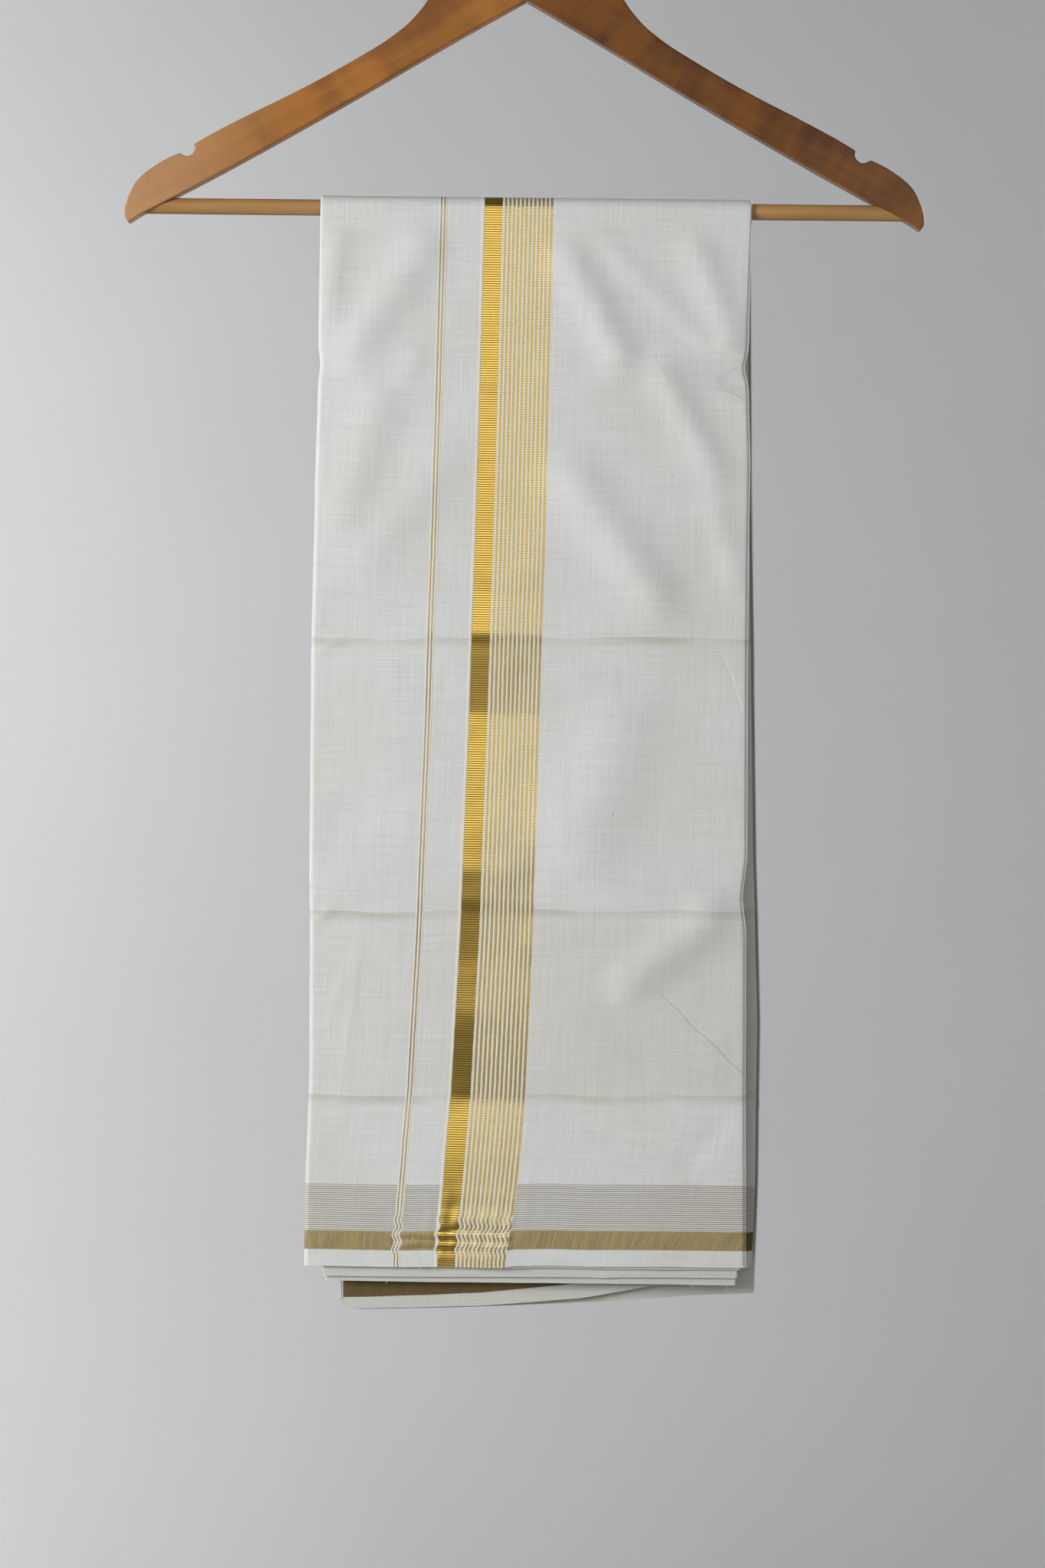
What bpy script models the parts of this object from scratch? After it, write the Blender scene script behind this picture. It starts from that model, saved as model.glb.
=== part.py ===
"""A folded dhoti cloth hung over the bar of a wooden hanger.

The origin is the hook's seat, where its inner crown rests on a rail.
X runs along the bar, the front of the cloth faces -Y, and +Z is up.
Tables are in millimetres, and MM turns them into metres.
"""
import bmesh
import bpy
import math
import numpy as np

MM = 0.001
GAP = 0.3

# Hanger, with heights above the bar's centre line
BAR_DROP = 208.0
BAR_RADIUS = 4.5
BAR_HALF = 212.0
ARM_THICKNESS = 12.0
ARM_ROUNDING = 2.4
APEX_HEIGHT = 116.0
HEAD_TOP = 150.0
TIP_REACH = 222.4
NOTCH_RADIUS = 4.4
NOTCH_CENTRE = (188.2, 31.6)
HOOK_WIRE = 1.9
HOOK_LOOP = 18.5
HOOK_SINK = 20.0

# Upper edge of an arm from its tip to the notch: reach along X, height
TIP_EDGE = [
    (220.4, -9.8), (222.3, -7.0), (TIP_REACH, -2.5), (220.6, 4.2), (216.6, 12.2),
    (211.4, 17.6), (204.5, 22.6), (198.6, 26.0), (192.9, 28.6),
]
# and from the notch to the head
SHOULDER_EDGE = [
    (183.8, 34.2), (170.0, 42.1), (150.0, 52.5), (130.0, 62.5), (110.0, 73.3),
    (90.0, 85.0), (80.0, 91.2), (72.0, 97.0), (66.0, 102.0), (62.0, 106.2), (58.0, 111.0),
    (53.8, 117.2), (49.0, 125.0), (43.5, 134.0), (35.0, 142.4), (22.0, 148.2), (8.0, HEAD_TOP),
]
# Lower edge from the tip to the apex under the head
LOWER_EDGE = [(211.5, -4.2), (199.0, 2.3), (160.0, 23.3), (100.0, 57.6), (40.0, 93.1)]

# Cloth, with drops below the bar's centre line
PLY = 1.0
PRESSED = 0.8
LOOSE = 2.9
OVER_BAR = BAR_RADIUS + GAP + PRESSED + GAP + PLY / 2
SWELL = 1.6
SWELL_DROP = 70.0
EDGE_CURL = 1.1
EDGE_INSET = 3.6
FRONT_HEM = 588.8

# Side edges of the front fall: drop, left, right
FRONT_EDGES = [
    (0, -113.4, 126.8), (30, -113.6, 126.2), (78, -113.8, 125.6), (88, -112.5, 122.9),
    (96, -113.6, 125.7), (140, -114.6, 127.1), (182, -115.0, 126.8), (246, -115.9, 126.9),
    (360, -115.8, 127.7), (382, -115.5, 125.2), (400, -115.2, 127.5), (480, -114.7, 128.2),
    (541, -116.2, 128.8), (589, -116.3, 129.3),
]
# Side edges of the back fall, which hangs a little askew
BACK_EDGES = [
    (0, -113.4, 126.8), (30, -113.2, 127.0), (160, -109.2, 129.1), (245, -106.6, 131.1),
    (360, -103.2, 133.7), (450, -100.6, 136.9), (540, -98.2, 136.6), (614, -96.8, 134.8),
]
# Lower edges of the two hidden plies that show in front
STEP_DROP = 594.2
LAST_DROP = 597.5
# How far the hidden plies keep in from the side edges in front: drop, left, right
FRONT_TUCK = [(0, EDGE_INSET, EDGE_INSET), (540, 7.0, 4.0), (594.2, 10.5, 4.6), (598, 12.3, 5.8)]
# Lower edge of the back fall and of the inner end: x, drop
BACK_FOLD = [(-96, 609), (-84, 614.7), (-28, 613.0), (27, 610.3), (62, 608.3), (102, 604.9), (137, 603.4)]
INNER_HEM = [(-96, 608), (-85, 614.0), (-18, 611.7), (38, 606.9), (84, 598.5), (135, 588.4)]
BACK_LOWEST = 614.7
INNER_INSET = 1.8

# Folds across a fall, pressed in when the cloth lay folded: drop, how far out at left, at right
FRONT_FOLDS = [
    (0, 0.0, 0.0), (20, -0.1, -0.1), (60, -0.8, -0.9), (68, -0.4, -0.5), (76, -0.7, -0.8),
    (97, 0.2, 0.0), (105, -0.1, -0.3), (150, 1.1, 0.8), (204, 2.1, 1.6), (214, 1.9, 1.4),
    (237, 2.9, 2.1), (241, 2.1, 1.5), (281, -0.5, -0.7), (318, 0.3, 0.4), (368, 1.6, 1.8),
    (386, 0.9, 1.2), (391, 0.1, 0.4), (418, -1.0, -0.8), (450, -1.1, -0.9), (494, -4.0, -3.8),
    (498, -3.8, -3.6), (528, -0.9, -0.9), (560, 1.3, 1.1), (576, 1.8, 1.6), (589, 2.2, 2.0),
    (620, 2.6, 2.4),
]
BACK_FOLDS = [
    (0, 0.0, 0.0), (40, 0.1, 0.1), (120, 0.5, 0.7), (214, 0.8, 1.4), (238, -0.6, -0.2),
    (262, 0.5, 1.2), (330, 1.3, 1.9), (376, 1.6, 1.9), (392, 0.2, 0.4), (410, 1.2, 1.5),
    (460, 2.4, 2.6), (498, 3.4, 3.2), (530, 1.9, 2.0), (560, 1.2, 1.2), (620, 0.2, 0.2),
]
# Soft ridges that fan out from the bar and the creases: x and drop at one end, at the other, how far out,
# half width
FRONT_RIDGES = [
    (16, 10, 64, 100, 2.7, 11), (70, 76, 116, 162, 2.0, 9), (88, 0, 124, 92, 1.6, 9),
    (14, 128, 90, 236, 3.0, 14), (104, 150, 124, 220, 1.1, 8), (-42, 0, -106, 96, 2.3, 12),
    (-103, 0, -109, 70, 1.3, 8), (-72, 86, -108, 200, 1.9, 13), (-30, 120, -100, 216, 1.4, 14),
    (70, 262, 22, 380, 2.8, 25), (124, 382, 46, 442, 2.9, 12), (30, 386, 22, 500, 1.6, 36),
]
BACK_RIDGES = [
    (-36, 0, -100, 200, 1.8, 14), (44, 2, 122, 190, 1.7, 14), (70, 252, 50, 470, 1.2, 24),
    (-60, 262, -78, 556, -0.9, 22), (120, 384, 60, 440, 1.4, 12), (-96, 360, -40, 420, 1.2, 12),
]
# Side pinches where the edge folds tuck in: side, drop, how far out, reach in from the edge, half height
FRONT_PINCHES = [(-1, 90, -1.2, 26, 14), (1, 90, -1.8, 34, 16), (1, 384, -1.4, 30, 14)]
BACK_PINCHES = [(-1, 110, -1.2, 28, 16), (1, 250, -1.4, 30, 16)]

SHARED_DROP = 560.0
FOOT_ROW = 576.0
ROW_STEP = 34.0
ACROSS = 17
ARCH_STEPS = 7


def smooth(value):
    """Zero to one with flat ends."""
    value = np.clip(value, 0.0, 1.0)
    return value * value * (3.0 - 2.0 * value)


def column(table, place, key):
    """Value of one column at a drop or a reach, joined by straight lines."""
    rows = np.array(table, dtype=float)
    return np.interp(key, rows[:, 0], rows[:, place])


def swell(drop):
    """How far the pressed plies spread once they are past the bar."""
    return SWELL * smooth(drop / SWELL_DROP)


def ridge(x, drop, start_x, start_drop, end_x, end_drop, half):
    """A bell across the line between two points, tapered over a quarter of its length at each end."""
    run, fall_off = end_x - start_x, end_drop - start_drop
    length = math.hypot(run, fall_off)
    share = ((x - start_x) * run + (drop - start_drop) * fall_off) / length ** 2
    away = ((x - start_x) * fall_off - (drop - start_drop) * run) / length
    return smooth(share * 4.0) * smooth((1.0 - share) * 4.0) * np.exp(-((away / half) ** 2))


def stand_out(x, drop, side):
    """How far a fall stands out from the bar's pressed plies, from its folds, ridges and pinches."""
    folds, ridges, pinches, edges = (
        (FRONT_FOLDS, FRONT_RIDGES, FRONT_PINCHES, FRONT_EDGES) if side < 0
        else (BACK_FOLDS, BACK_RIDGES, BACK_PINCHES, BACK_EDGES)
    )
    across = smooth((x + 116.0) / 245.0)
    left, right = column(folds, 1, drop), column(folds, 2, drop)
    total = left + (right - left) * across
    for start_x, start_drop, end_x, end_drop, out, half in ridges:
        total += out * ridge(x, drop, start_x, start_drop, end_x, end_drop, half)
    for hand, at, out, reach, half in pinches:
        edge = column(edges, 1 if hand < 0 else 2, drop)
        inward = np.abs(x - edge) / reach
        total += out * (1.0 - smooth(inward)) * (1.0 - smooth(np.abs(drop - at) / half))
    return total * smooth((drop - 2.0) / 20.0)


def curl(x, drop, left, right):
    """How far the folded side edges turn in, a quarter round at each edge."""
    radius = EDGE_CURL * (1.0 + smooth(drop / SWELL_DROP))
    near = np.minimum(np.abs(x - left), np.abs(right - x))
    short = np.clip(radius - near, 0.0, radius)
    return radius - np.sqrt(np.maximum(radius * radius - short * short, 0.0))


def fall_rows(folds):
    """Drops of the rows that all plies of a fall share: one on each fold, more where they lie far apart."""
    marks = [fold[0] for fold in folds if fold[0] <= SHARED_DROP]
    rows = [0.0]
    for start, end in zip(marks, marks[1:]):
        parts = math.ceil((end - start) / ROW_STEP)
        rows += [start + (end - start) * part / parts for part in range(1, parts + 1)]
    return np.array(rows)


def columns(drop, left, right, inset):
    """X of each column, the same for all plies but at the side edges."""
    radius = EDGE_CURL * (1.0 + smooth(drop / SWELL_DROP))[:, None]
    left, right = (left + PLY / 2)[:, None], (right - PLY / 2)[:, None]
    shares = np.linspace(0.0, 1.0, ACROSS + 1)[None, 1:-1]
    middle = left + radius + (right - left - 2.0 * radius) * shares
    if inset is None:
        lip = radius * (1.0 - np.cos(np.radians([0.0, 50.0, 90.0])))[None, :]
        return np.hstack([left + lip, middle, right - lip[:, ::-1]])
    start, end = left + inset[0][:, None], right - inset[1][:, None]
    middle[:, :1] = np.maximum(middle[:, :1], start + 3.0)
    middle[:, -1:] = np.minimum(middle[:, -1:], end - 3.0)
    return np.hstack([start, middle, end])


def fall(side, rows, foot, inset=None):
    """Middle surface of one fall, as rows down from the bar to the drop of its foot at each X."""
    edges = FRONT_EDGES if side < 0 else BACK_EDGES
    left, right = column(edges, 1, rows), column(edges, 2, rows)
    x = columns(rows, left, right, inset)
    share = np.clip((rows[:, None] - SHARED_DROP) / (rows[-1] - SHARED_DROP), 0.0, 1.0)
    drop = np.minimum(rows[:, None], SHARED_DROP) + share * (foot(x) - SHARED_DROP)
    y = side * (OVER_BAR + swell(drop) + stand_out(x, drop, side))
    if inset is None:
        y = y - side * curl(x, rows[:, None], x[:, :1], x[:, -1:])
    return np.stack([x, y, -drop], axis=-1)


def arch(front_row, back_row):
    """Rows over the bar, turned from the top row of one fall to that of the other."""
    turn = np.linspace(0.0, math.pi, ARCH_STEPS + 2)[1:-1][:, None]
    share = (1.0 - np.cos(turn)) / 2.0
    radius = np.abs(front_row[None, :, 1])
    x = front_row[None, :, 0] * (1.0 - share) + back_row[None, :, 0] * share
    return np.stack([x, -radius * np.cos(turn), radius * np.sin(turn)], axis=-1)


def normals(grid):
    """Unit normals of a grid, pointing out from the bar."""
    down = np.gradient(grid, axis=0)
    over = np.gradient(grid, axis=1)
    cross = np.cross(over, down)
    return cross / np.linalg.norm(cross, axis=-1, keepdims=True)


def link(obj, group):
    group.objects.link(obj)
    return obj


def mesh_object(name, points, faces, group, material):
    mesh = bpy.data.meshes.new(name)
    mesh.from_pydata([tuple(point) for point in points], [], faces)
    mesh.materials.append(material)
    mesh.shade_smooth()
    mesh.set_sharp_from_angle(angle=math.radians(50))
    return link(bpy.data.objects.new(name, mesh), group)


def wall(name, outside, inside, group, material):
    """Closed cloth wall between two grids that lie over each other."""
    rows, cols = outside.shape[:2]
    count = rows * cols
    index = np.arange(count).reshape(rows, cols)
    lower = index + count
    faces = []
    for i in range(rows - 1):
        for j in range(cols - 1):
            faces.append((index[i, j], index[i, j + 1], index[i + 1, j + 1], index[i + 1, j]))
            faces.append((lower[i, j], lower[i + 1, j], lower[i + 1, j + 1], lower[i, j + 1]))
    for i in range(rows - 1):
        faces.append((index[i, 0], index[i + 1, 0], lower[i + 1, 0], lower[i, 0]))
        faces.append((index[i, -1], lower[i, -1], lower[i + 1, -1], index[i + 1, -1]))
    for j in range(cols - 1):
        faces.append((index[0, j], lower[0, j], lower[0, j + 1], index[0, j + 1]))
        faces.append((index[-1, j], index[-1, j + 1], lower[-1, j + 1], lower[-1, j]))
    points = np.concatenate([outside.reshape(-1, 3), inside.reshape(-1, 3)])
    points = points * MM - np.array([0.0, 0.0, BAR_DROP * MM])
    return mesh_object(name, points, [tuple(int(i) for i in face) for face in faces], group, material)


def strip(front, back):
    """One grid from the front's lowest row, over the bar, to the back's lowest row."""
    return np.concatenate([front[::-1], arch(front[0], back[0]), back])


def build_outer_ply(group, material):
    foot = [FOOT_ROW, FRONT_HEM]
    front = fall(-1, np.append(fall_rows(FRONT_FOLDS), foot), lambda x: FRONT_HEM + 0.0 * x)
    foot = [FOOT_ROW, BACK_LOWEST]
    back = fall(1, np.append(fall_rows(BACK_FOLDS), foot), lambda x: column(BACK_FOLD, 1, x))
    middle = strip(front, back)
    out = normals(middle) * PLY / 2
    return wall("outer_ply", middle + out, middle - out, group, material)


def build_hidden_plies(group, material):
    """The folded plies inside, thin over the bar and stepped at the front's foot."""
    foot = [FOOT_ROW, FRONT_HEM, STEP_DROP - 0.8, STEP_DROP, STEP_DROP + 0.2, LAST_DROP - 0.6, LAST_DROP]
    rows_front = np.append(fall_rows(FRONT_FOLDS), foot)
    inset = (column(FRONT_TUCK, 1, rows_front), column(FRONT_TUCK, 2, rows_front))
    front = fall(-1, rows_front, lambda x: LAST_DROP + 0.0 * x, inset)
    foot = [FOOT_ROW, BACK_LOWEST - 4.5]
    rows_back = np.append(fall_rows(BACK_FOLDS), foot)
    inset = (EDGE_INSET + 0.0 * rows_back, EDGE_INSET + 0.0 * rows_back)
    back = fall(1, rows_back, lambda x: column(BACK_FOLD, 1, x) - 4.5, inset)
    middle = strip(front, back)
    out = normals(middle)
    drop = np.maximum(-middle[..., 2], 0.0)
    cols = middle.shape[1]
    rim = np.minimum(np.arange(cols), np.arange(cols)[::-1])
    rounding = np.where(rim == 0, 0.6, 1.0)[None, :]
    step = np.where((middle[..., 1] < 0) & (drop > STEP_DROP + 0.1), 1.3, 0.0)
    top = PLY / 2 + GAP + step
    thick = PRESSED + (LOOSE - PRESSED) * smooth((drop - 4.0) / SWELL_DROP) - step
    centre = top + thick / 2
    half = thick / 2 * rounding
    outside = middle - out * (centre - half)[..., None]
    inside = middle - out * (centre + half)[..., None]
    return wall("hidden_plies", outside, inside, group, material)


def build_inner_end(group, material):
    """The innermost ply on the back fall, whose cut end shows under the front."""
    rows = fall_rows(BACK_FOLDS)
    rows = np.concatenate([[9.0], rows[rows > 15.0], [FOOT_ROW, BACK_LOWEST]])
    inset = (INNER_INSET + 0.0 * rows, INNER_INSET + 0.0 * rows)
    middle = fall(1, rows, lambda x: column(INNER_HEM, 1, x), inset)
    out = normals(middle)
    drop = -middle[..., 2]
    hidden = PRESSED + (LOOSE - PRESSED) * smooth((drop - 4.0) / SWELL_DROP)
    top = PLY / 2 + 2 * GAP + hidden
    outside = middle - out * top[..., None]
    inside = middle - out * (top + PLY)[..., None]
    return wall("inner_end", outside, inside, group, material)


def arm_outline():
    """Closed outline of the right arm, from its tip over the notch to the head and back."""
    cx, cz = NOTCH_CENTRE
    outer, inner = TIP_EDGE[-1], SHOULDER_EDGE[0]
    start = math.atan2(outer[1] - cz, outer[0] - cx)
    end = math.atan2(inner[1] - cz, inner[0] - cx) - 2 * math.pi
    turns = np.linspace(start, end if end < start else end - 2 * math.pi, 9)[1:-1]
    notch = [(cx + NOTCH_RADIUS * math.cos(turn), cz + NOTCH_RADIUS * math.sin(turn)) for turn in turns]
    seam = GAP / 2
    return TIP_EDGE + notch + SHOULDER_EDGE + [(seam, HEAD_TOP), (seam, APEX_HEIGHT)] + LOWER_EDGE[::-1]


def cutter_rod(name, centre, radius, depth, axis, cutters):
    bpy.ops.mesh.primitive_cylinder_add(vertices=24, radius=radius * MM, depth=depth * MM)
    rod = bpy.context.object
    rod.name = name
    for owner in list(rod.users_collection):
        owner.objects.unlink(rod)
    cutters.objects.link(rod)
    if axis == "X":
        rod.rotation_euler = (0.0, math.pi / 2, 0.0)
    rod.location = np.array(centre) * MM - np.array([0.0, 0.0, BAR_DROP * MM])
    rod.hide_render = True
    rod.display_type = "WIRE"
    return rod


def build_arm(name, hand, group, cutters, material):
    """A flat shaped arm with rounded rims, a bore for the hook and a socket for the bar."""
    outline = [(hand * x, z) for x, z in arm_outline()]
    half = ARM_THICKNESS / 2
    bm = bmesh.new()
    rim = [bm.verts.new((x * MM, -half * MM, (z - BAR_DROP) * MM)) for x, z in outline]
    face = bm.faces.new(rim)
    grown = bmesh.ops.extrude_face_region(bm, geom=[face])
    moved = [item for item in grown["geom"] if isinstance(item, bmesh.types.BMVert)]
    bmesh.ops.translate(bm, verts=moved, vec=(0.0, ARM_THICKNESS * MM, 0.0))
    bmesh.ops.recalc_face_normals(bm, faces=bm.faces)
    mesh = bpy.data.meshes.new(name)
    bm.to_mesh(mesh)
    bm.free()
    mesh.materials.append(material)
    mesh.shade_smooth()
    mesh.set_sharp_from_angle(angle=math.radians(35))
    arm = link(bpy.data.objects.new(name, mesh), group)
    rims = arm.modifiers.new("Rounded rims", "BEVEL")
    rims.width = ARM_ROUNDING * MM
    rims.segments = 2
    rims.limit_method = "ANGLE"
    rims.angle_limit = math.radians(60)
    socket_depth = BAR_HALF + GAP - 150.0
    socket = cutter_rod(name + "_socket", (hand * (150.0 + socket_depth / 2), 0.0, 0.0),
                        BAR_RADIUS + GAP, socket_depth, "X", cutters)
    bore = cutter_rod(name + "_bore", (0.0, 0.0, HEAD_TOP + 5.0 - HOOK_SINK / 2),
                      HOOK_WIRE + GAP, HOOK_SINK + 10.0, "Z", cutters)
    for tool in (socket, bore):
        cut = arm.modifiers.new(tool.name, "BOOLEAN")
        cut.operation = "DIFFERENCE"
        cut.solver = "EXACT"
        cut.object = tool
    return arm


def build_bar(group, material):
    bpy.ops.mesh.primitive_cylinder_add(vertices=24, radius=BAR_RADIUS * MM, depth=2 * BAR_HALF * MM)
    bar = bpy.context.object
    bar.name = "trouser_bar"
    for owner in list(bar.users_collection):
        owner.objects.unlink(bar)
    group.objects.link(bar)
    bar.rotation_euler = (0.0, math.pi / 2, 0.0)
    bar.location = (0.0, 0.0, -BAR_DROP * MM)
    bar.data.materials.append(material)
    bar.data.shade_smooth()
    bar.data.set_sharp_from_angle(angle=math.radians(35))
    ends = bar.modifiers.new("Eased ends", "BEVEL")
    ends.width = 0.6 * MM
    ends.segments = 1
    ends.limit_method = "ANGLE"
    ends.angle_limit = math.radians(60)
    return bar


def hook_route():
    """Wire centre line: up from the bore, out to the right and round over the seat."""
    centre_z = HOOK_WIRE - HOOK_LOOP
    foot = HEAD_TOP - BAR_DROP - HOOK_SINK + 1.0
    neck = centre_z - 31.0
    points = [(0.0, z) for z in np.linspace(foot, neck, 5)]
    start = math.radians(-42.0)
    leave = (HOOK_LOOP * math.cos(start), centre_z + HOOK_LOOP * math.sin(start))
    for share in np.linspace(0.0, 1.0, 8)[1:-1]:
        ease = share * share * (3.0 - 2.0 * share)
        points.append((leave[0] * ease, neck + (leave[1] - neck) * share))
    for turn in np.radians(np.linspace(-42.0, 200.0, 23)):
        points.append((HOOK_LOOP * math.cos(turn), centre_z + HOOK_LOOP * math.sin(turn)))
    return points


def build_hook(group, material):
    route = hook_route()
    curve = bpy.data.curves.new("hook", "CURVE")
    curve.dimensions = "3D"
    curve.bevel_depth = HOOK_WIRE * MM
    curve.bevel_resolution = 2
    curve.use_fill_caps = True
    line = curve.splines.new("POLY")
    line.points.add(len(route) - 1)
    for point, (x, z) in zip(line.points, route):
        point.co = (x * MM, 0.0, z * MM, 1.0)
    curve.materials.append(material)
    return link(bpy.data.objects.new("hook", curve), group)


def finish(name, colour, roughness, metallic=0.0):
    material = bpy.data.materials.new(name)
    material.use_nodes = True
    shader = material.node_tree.nodes["Principled BSDF"]
    shader.inputs["Base Color"].default_value = (*colour, 1.0)
    shader.inputs["Roughness"].default_value = roughness
    shader.inputs["Metallic"].default_value = metallic
    return material


def collection(name):
    group = bpy.data.collections.new(name)
    bpy.context.scene.collection.children.link(group)
    return group


def build():
    for obj in list(bpy.data.objects):
        bpy.data.objects.remove(obj, do_unlink=True)
    group = collection("folded_dhoti_on_hanger")
    cutters = collection("cutters")
    build_outer_ply(group, finish("off_white_cotton", (0.66, 0.65, 0.62), 0.85))
    build_hidden_plies(group, finish("cotton_in_shade", (0.60, 0.58, 0.53), 0.88))
    build_inner_end(group, finish("cotton_gold_end", (0.58, 0.50, 0.34), 0.80))
    build_arm("arm_left", -1, group, cutters, finish("honey_wood", (0.42, 0.22, 0.08), 0.38))
    build_arm("arm_right", 1, group, cutters, finish("brown_wood", (0.33, 0.15, 0.045), 0.38))
    build_bar(group, finish("pale_wood", (0.45, 0.28, 0.13), 0.50))
    build_hook(group, finish("bright_steel", (0.62, 0.62, 0.62), 0.25, 1.0))


build()
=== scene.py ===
import bmesh
import bpy
import math
import numpy as np
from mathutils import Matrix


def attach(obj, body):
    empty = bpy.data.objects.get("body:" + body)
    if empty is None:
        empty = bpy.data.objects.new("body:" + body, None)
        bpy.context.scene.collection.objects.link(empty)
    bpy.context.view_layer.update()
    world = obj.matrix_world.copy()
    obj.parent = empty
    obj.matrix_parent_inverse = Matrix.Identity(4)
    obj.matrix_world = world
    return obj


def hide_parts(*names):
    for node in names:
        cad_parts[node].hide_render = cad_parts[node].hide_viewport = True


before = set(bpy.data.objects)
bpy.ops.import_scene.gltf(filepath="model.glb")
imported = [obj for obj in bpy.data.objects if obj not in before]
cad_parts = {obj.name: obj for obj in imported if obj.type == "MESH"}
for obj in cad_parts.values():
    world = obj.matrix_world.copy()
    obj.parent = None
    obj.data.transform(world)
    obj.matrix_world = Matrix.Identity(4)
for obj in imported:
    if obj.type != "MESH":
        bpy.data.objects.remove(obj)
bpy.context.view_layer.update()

# Folded gold-bordered cotton cloth over the bar of a wooden hanger.
# Tables are in millimetres from the middle of the bar, and mm turns them into metres.
mm = 0.001

barHeight = -208.0    # bar centre, from the seat of the hook

cloth = dict(
    overBar=6.4,           # radius of the outer ply's middle over the bar
    swell=1.6,             # how far the pressed plies spread below the bar
    swellDrop=70.0,
    thickness=0.62,
    curl=1.1,
    frontHem=588.8,
    shared=560.0,          # rows are level down to here and follow the hem below it
    backLowest=614.7,
    stripLeft=-116.0,
    stripWidth=245.0,
    crossDrop=2.0,         # the folds start to stand out below here
    # side edges: drop, left, right
    frontEdges=[
        (0, -113.4, 126.8), (30, -113.6, 126.2), (78, -113.8, 125.6), (88, -112.5, 122.9),
        (96, -113.6, 125.7), (140, -114.6, 127.1), (182, -115.0, 126.8), (246, -115.9, 126.9),
        (360, -115.8, 127.7), (382, -115.5, 125.2), (400, -115.2, 127.5), (480, -114.7, 128.2),
        (541, -116.2, 128.8), (589, -116.3, 129.3)],
    backEdges=[
        (0, -113.4, 126.8), (30, -113.2, 127.0), (160, -109.2, 129.1), (245, -106.6, 131.1),
        (360, -103.2, 133.7), (450, -100.6, 136.9), (540, -98.2, 136.6), (614, -96.8, 134.8)],
    # folds across the fall: drop, how far it stands out at the left, at the right
    frontFolds=[
        (0, 0.0, 0.0), (20, -0.1, -0.1), (60, -0.8, -0.9), (68, -0.4, -0.5), (76, -0.7, -0.8),
        (97, 0.2, 0.0), (105, -0.1, -0.3), (150, 1.1, 0.8), (204, 2.1, 1.6), (214, 1.9, 1.4),
        (237, 2.9, 2.1), (241, 2.1, 1.5), (281, -0.5, -0.7), (318, 0.3, 0.4), (368, 1.6, 1.8),
        (386, 0.9, 1.2), (391, 0.1, 0.4), (418, -1.0, -0.8), (450, -1.1, -0.9), (494, -4.0, -3.8),
        (498, -3.8, -3.6), (528, -0.9, -0.9), (560, 1.3, 1.1), (576, 1.8, 1.6), (589, 2.2, 2.0),
        (620, 2.6, 2.4)],
    backFolds=[
        (0, 0.0, 0.0), (40, 0.1, 0.1), (120, 0.5, 0.7), (214, 0.8, 1.4), (238, -0.6, -0.2),
        (262, 0.5, 1.2), (330, 1.3, 1.9), (376, 1.6, 1.9), (392, 0.2, 0.4), (410, 1.2, 1.5),
        (460, 2.4, 2.6), (498, 3.4, 3.2), (530, 1.9, 2.0), (560, 1.2, 1.2), (620, 0.2, 0.2)],
    # soft ridges that fan out from the bar and the creases: x and drop at one end, at the other,
    # how far out, half width
    frontRidges=[
        (16, 10, 64, 100, 2.7, 11), (70, 76, 116, 162, 2.0, 9), (88, 0, 124, 92, 1.6, 9),
        (14, 128, 90, 236, 3.0, 14), (104, 150, 124, 220, 1.1, 8), (-42, 0, -106, 96, 2.3, 12),
        (-103, 0, -109, 70, 1.3, 8), (-72, 86, -108, 200, 1.9, 13), (-30, 120, -100, 216, 1.4, 14),
        (70, 262, 22, 380, 2.8, 25), (124, 382, 46, 442, 2.9, 12), (30, 386, 22, 500, 1.6, 36),
        (28, 2, 124, 96, 0.8, 6), (-56, 76, -68, 102, 0.7, 7), (-117, 346, -57, 327, -0.6, 7),
        (122, 502, 88, 540, -0.7, 6), (-86, 396, -98, 520, 0.25, 3), (-117.5, 403, -101, 389, 0.8, 2.4),
        (-117.5, 251, -96, 240, 0.6, 2.4), (70, 438, 119, 476, 0.35, 2.0), (-92, 420, -104, 452, 0.3, 3),
        (129, 84, 106, 72, 0.7, 3.2), (129, 99, 108, 94, -0.8, 3.0), (129, 110, 108, 104, 0.6, 3.0)],
    backRidges=[
        (-36, 0, -100, 200, 1.8, 14), (44, 2, 122, 190, 1.7, 14), (70, 252, 50, 470, 1.2, 24),
        (-60, 262, -78, 556, -0.9, 22), (120, 384, 60, 440, 1.4, 12), (-96, 360, -40, 420, 1.2, 12)],
    # side pinches: side, drop, how far out, reach, half height
    frontPinches=[(-1, 90, -1.2, 26, 14), (1, 90, -1.8, 34, 16), (1, 384, -1.4, 30, 14)],
    backPinches=[(-1, 110, -1.2, 28, 16), (1, 250, -1.4, 30, 16)],
    backFold=[
        (-98, 615.0), (-84, 614.7), (-28, 613.0), (27, 610.3), (62, 608.3), (102, 604.9), (137, 603.4)],
    innerHem=[(-98, 614.3), (-85, 614.0), (-18, 611.7), (38, 606.9), (84, 598.5), (135, 588.4)],
    backCreases=[238, 394, 498],
    innerInset=1.8,
    innerDepth=1.1,        # from the outer ply's middle to its inner face, and the air between the plies
    innerGap=0.25,
    innerThickness=0.55,
    corner=(-98.0, 12.0),  # where the rounded lower left corner starts, and its radius
)

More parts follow.
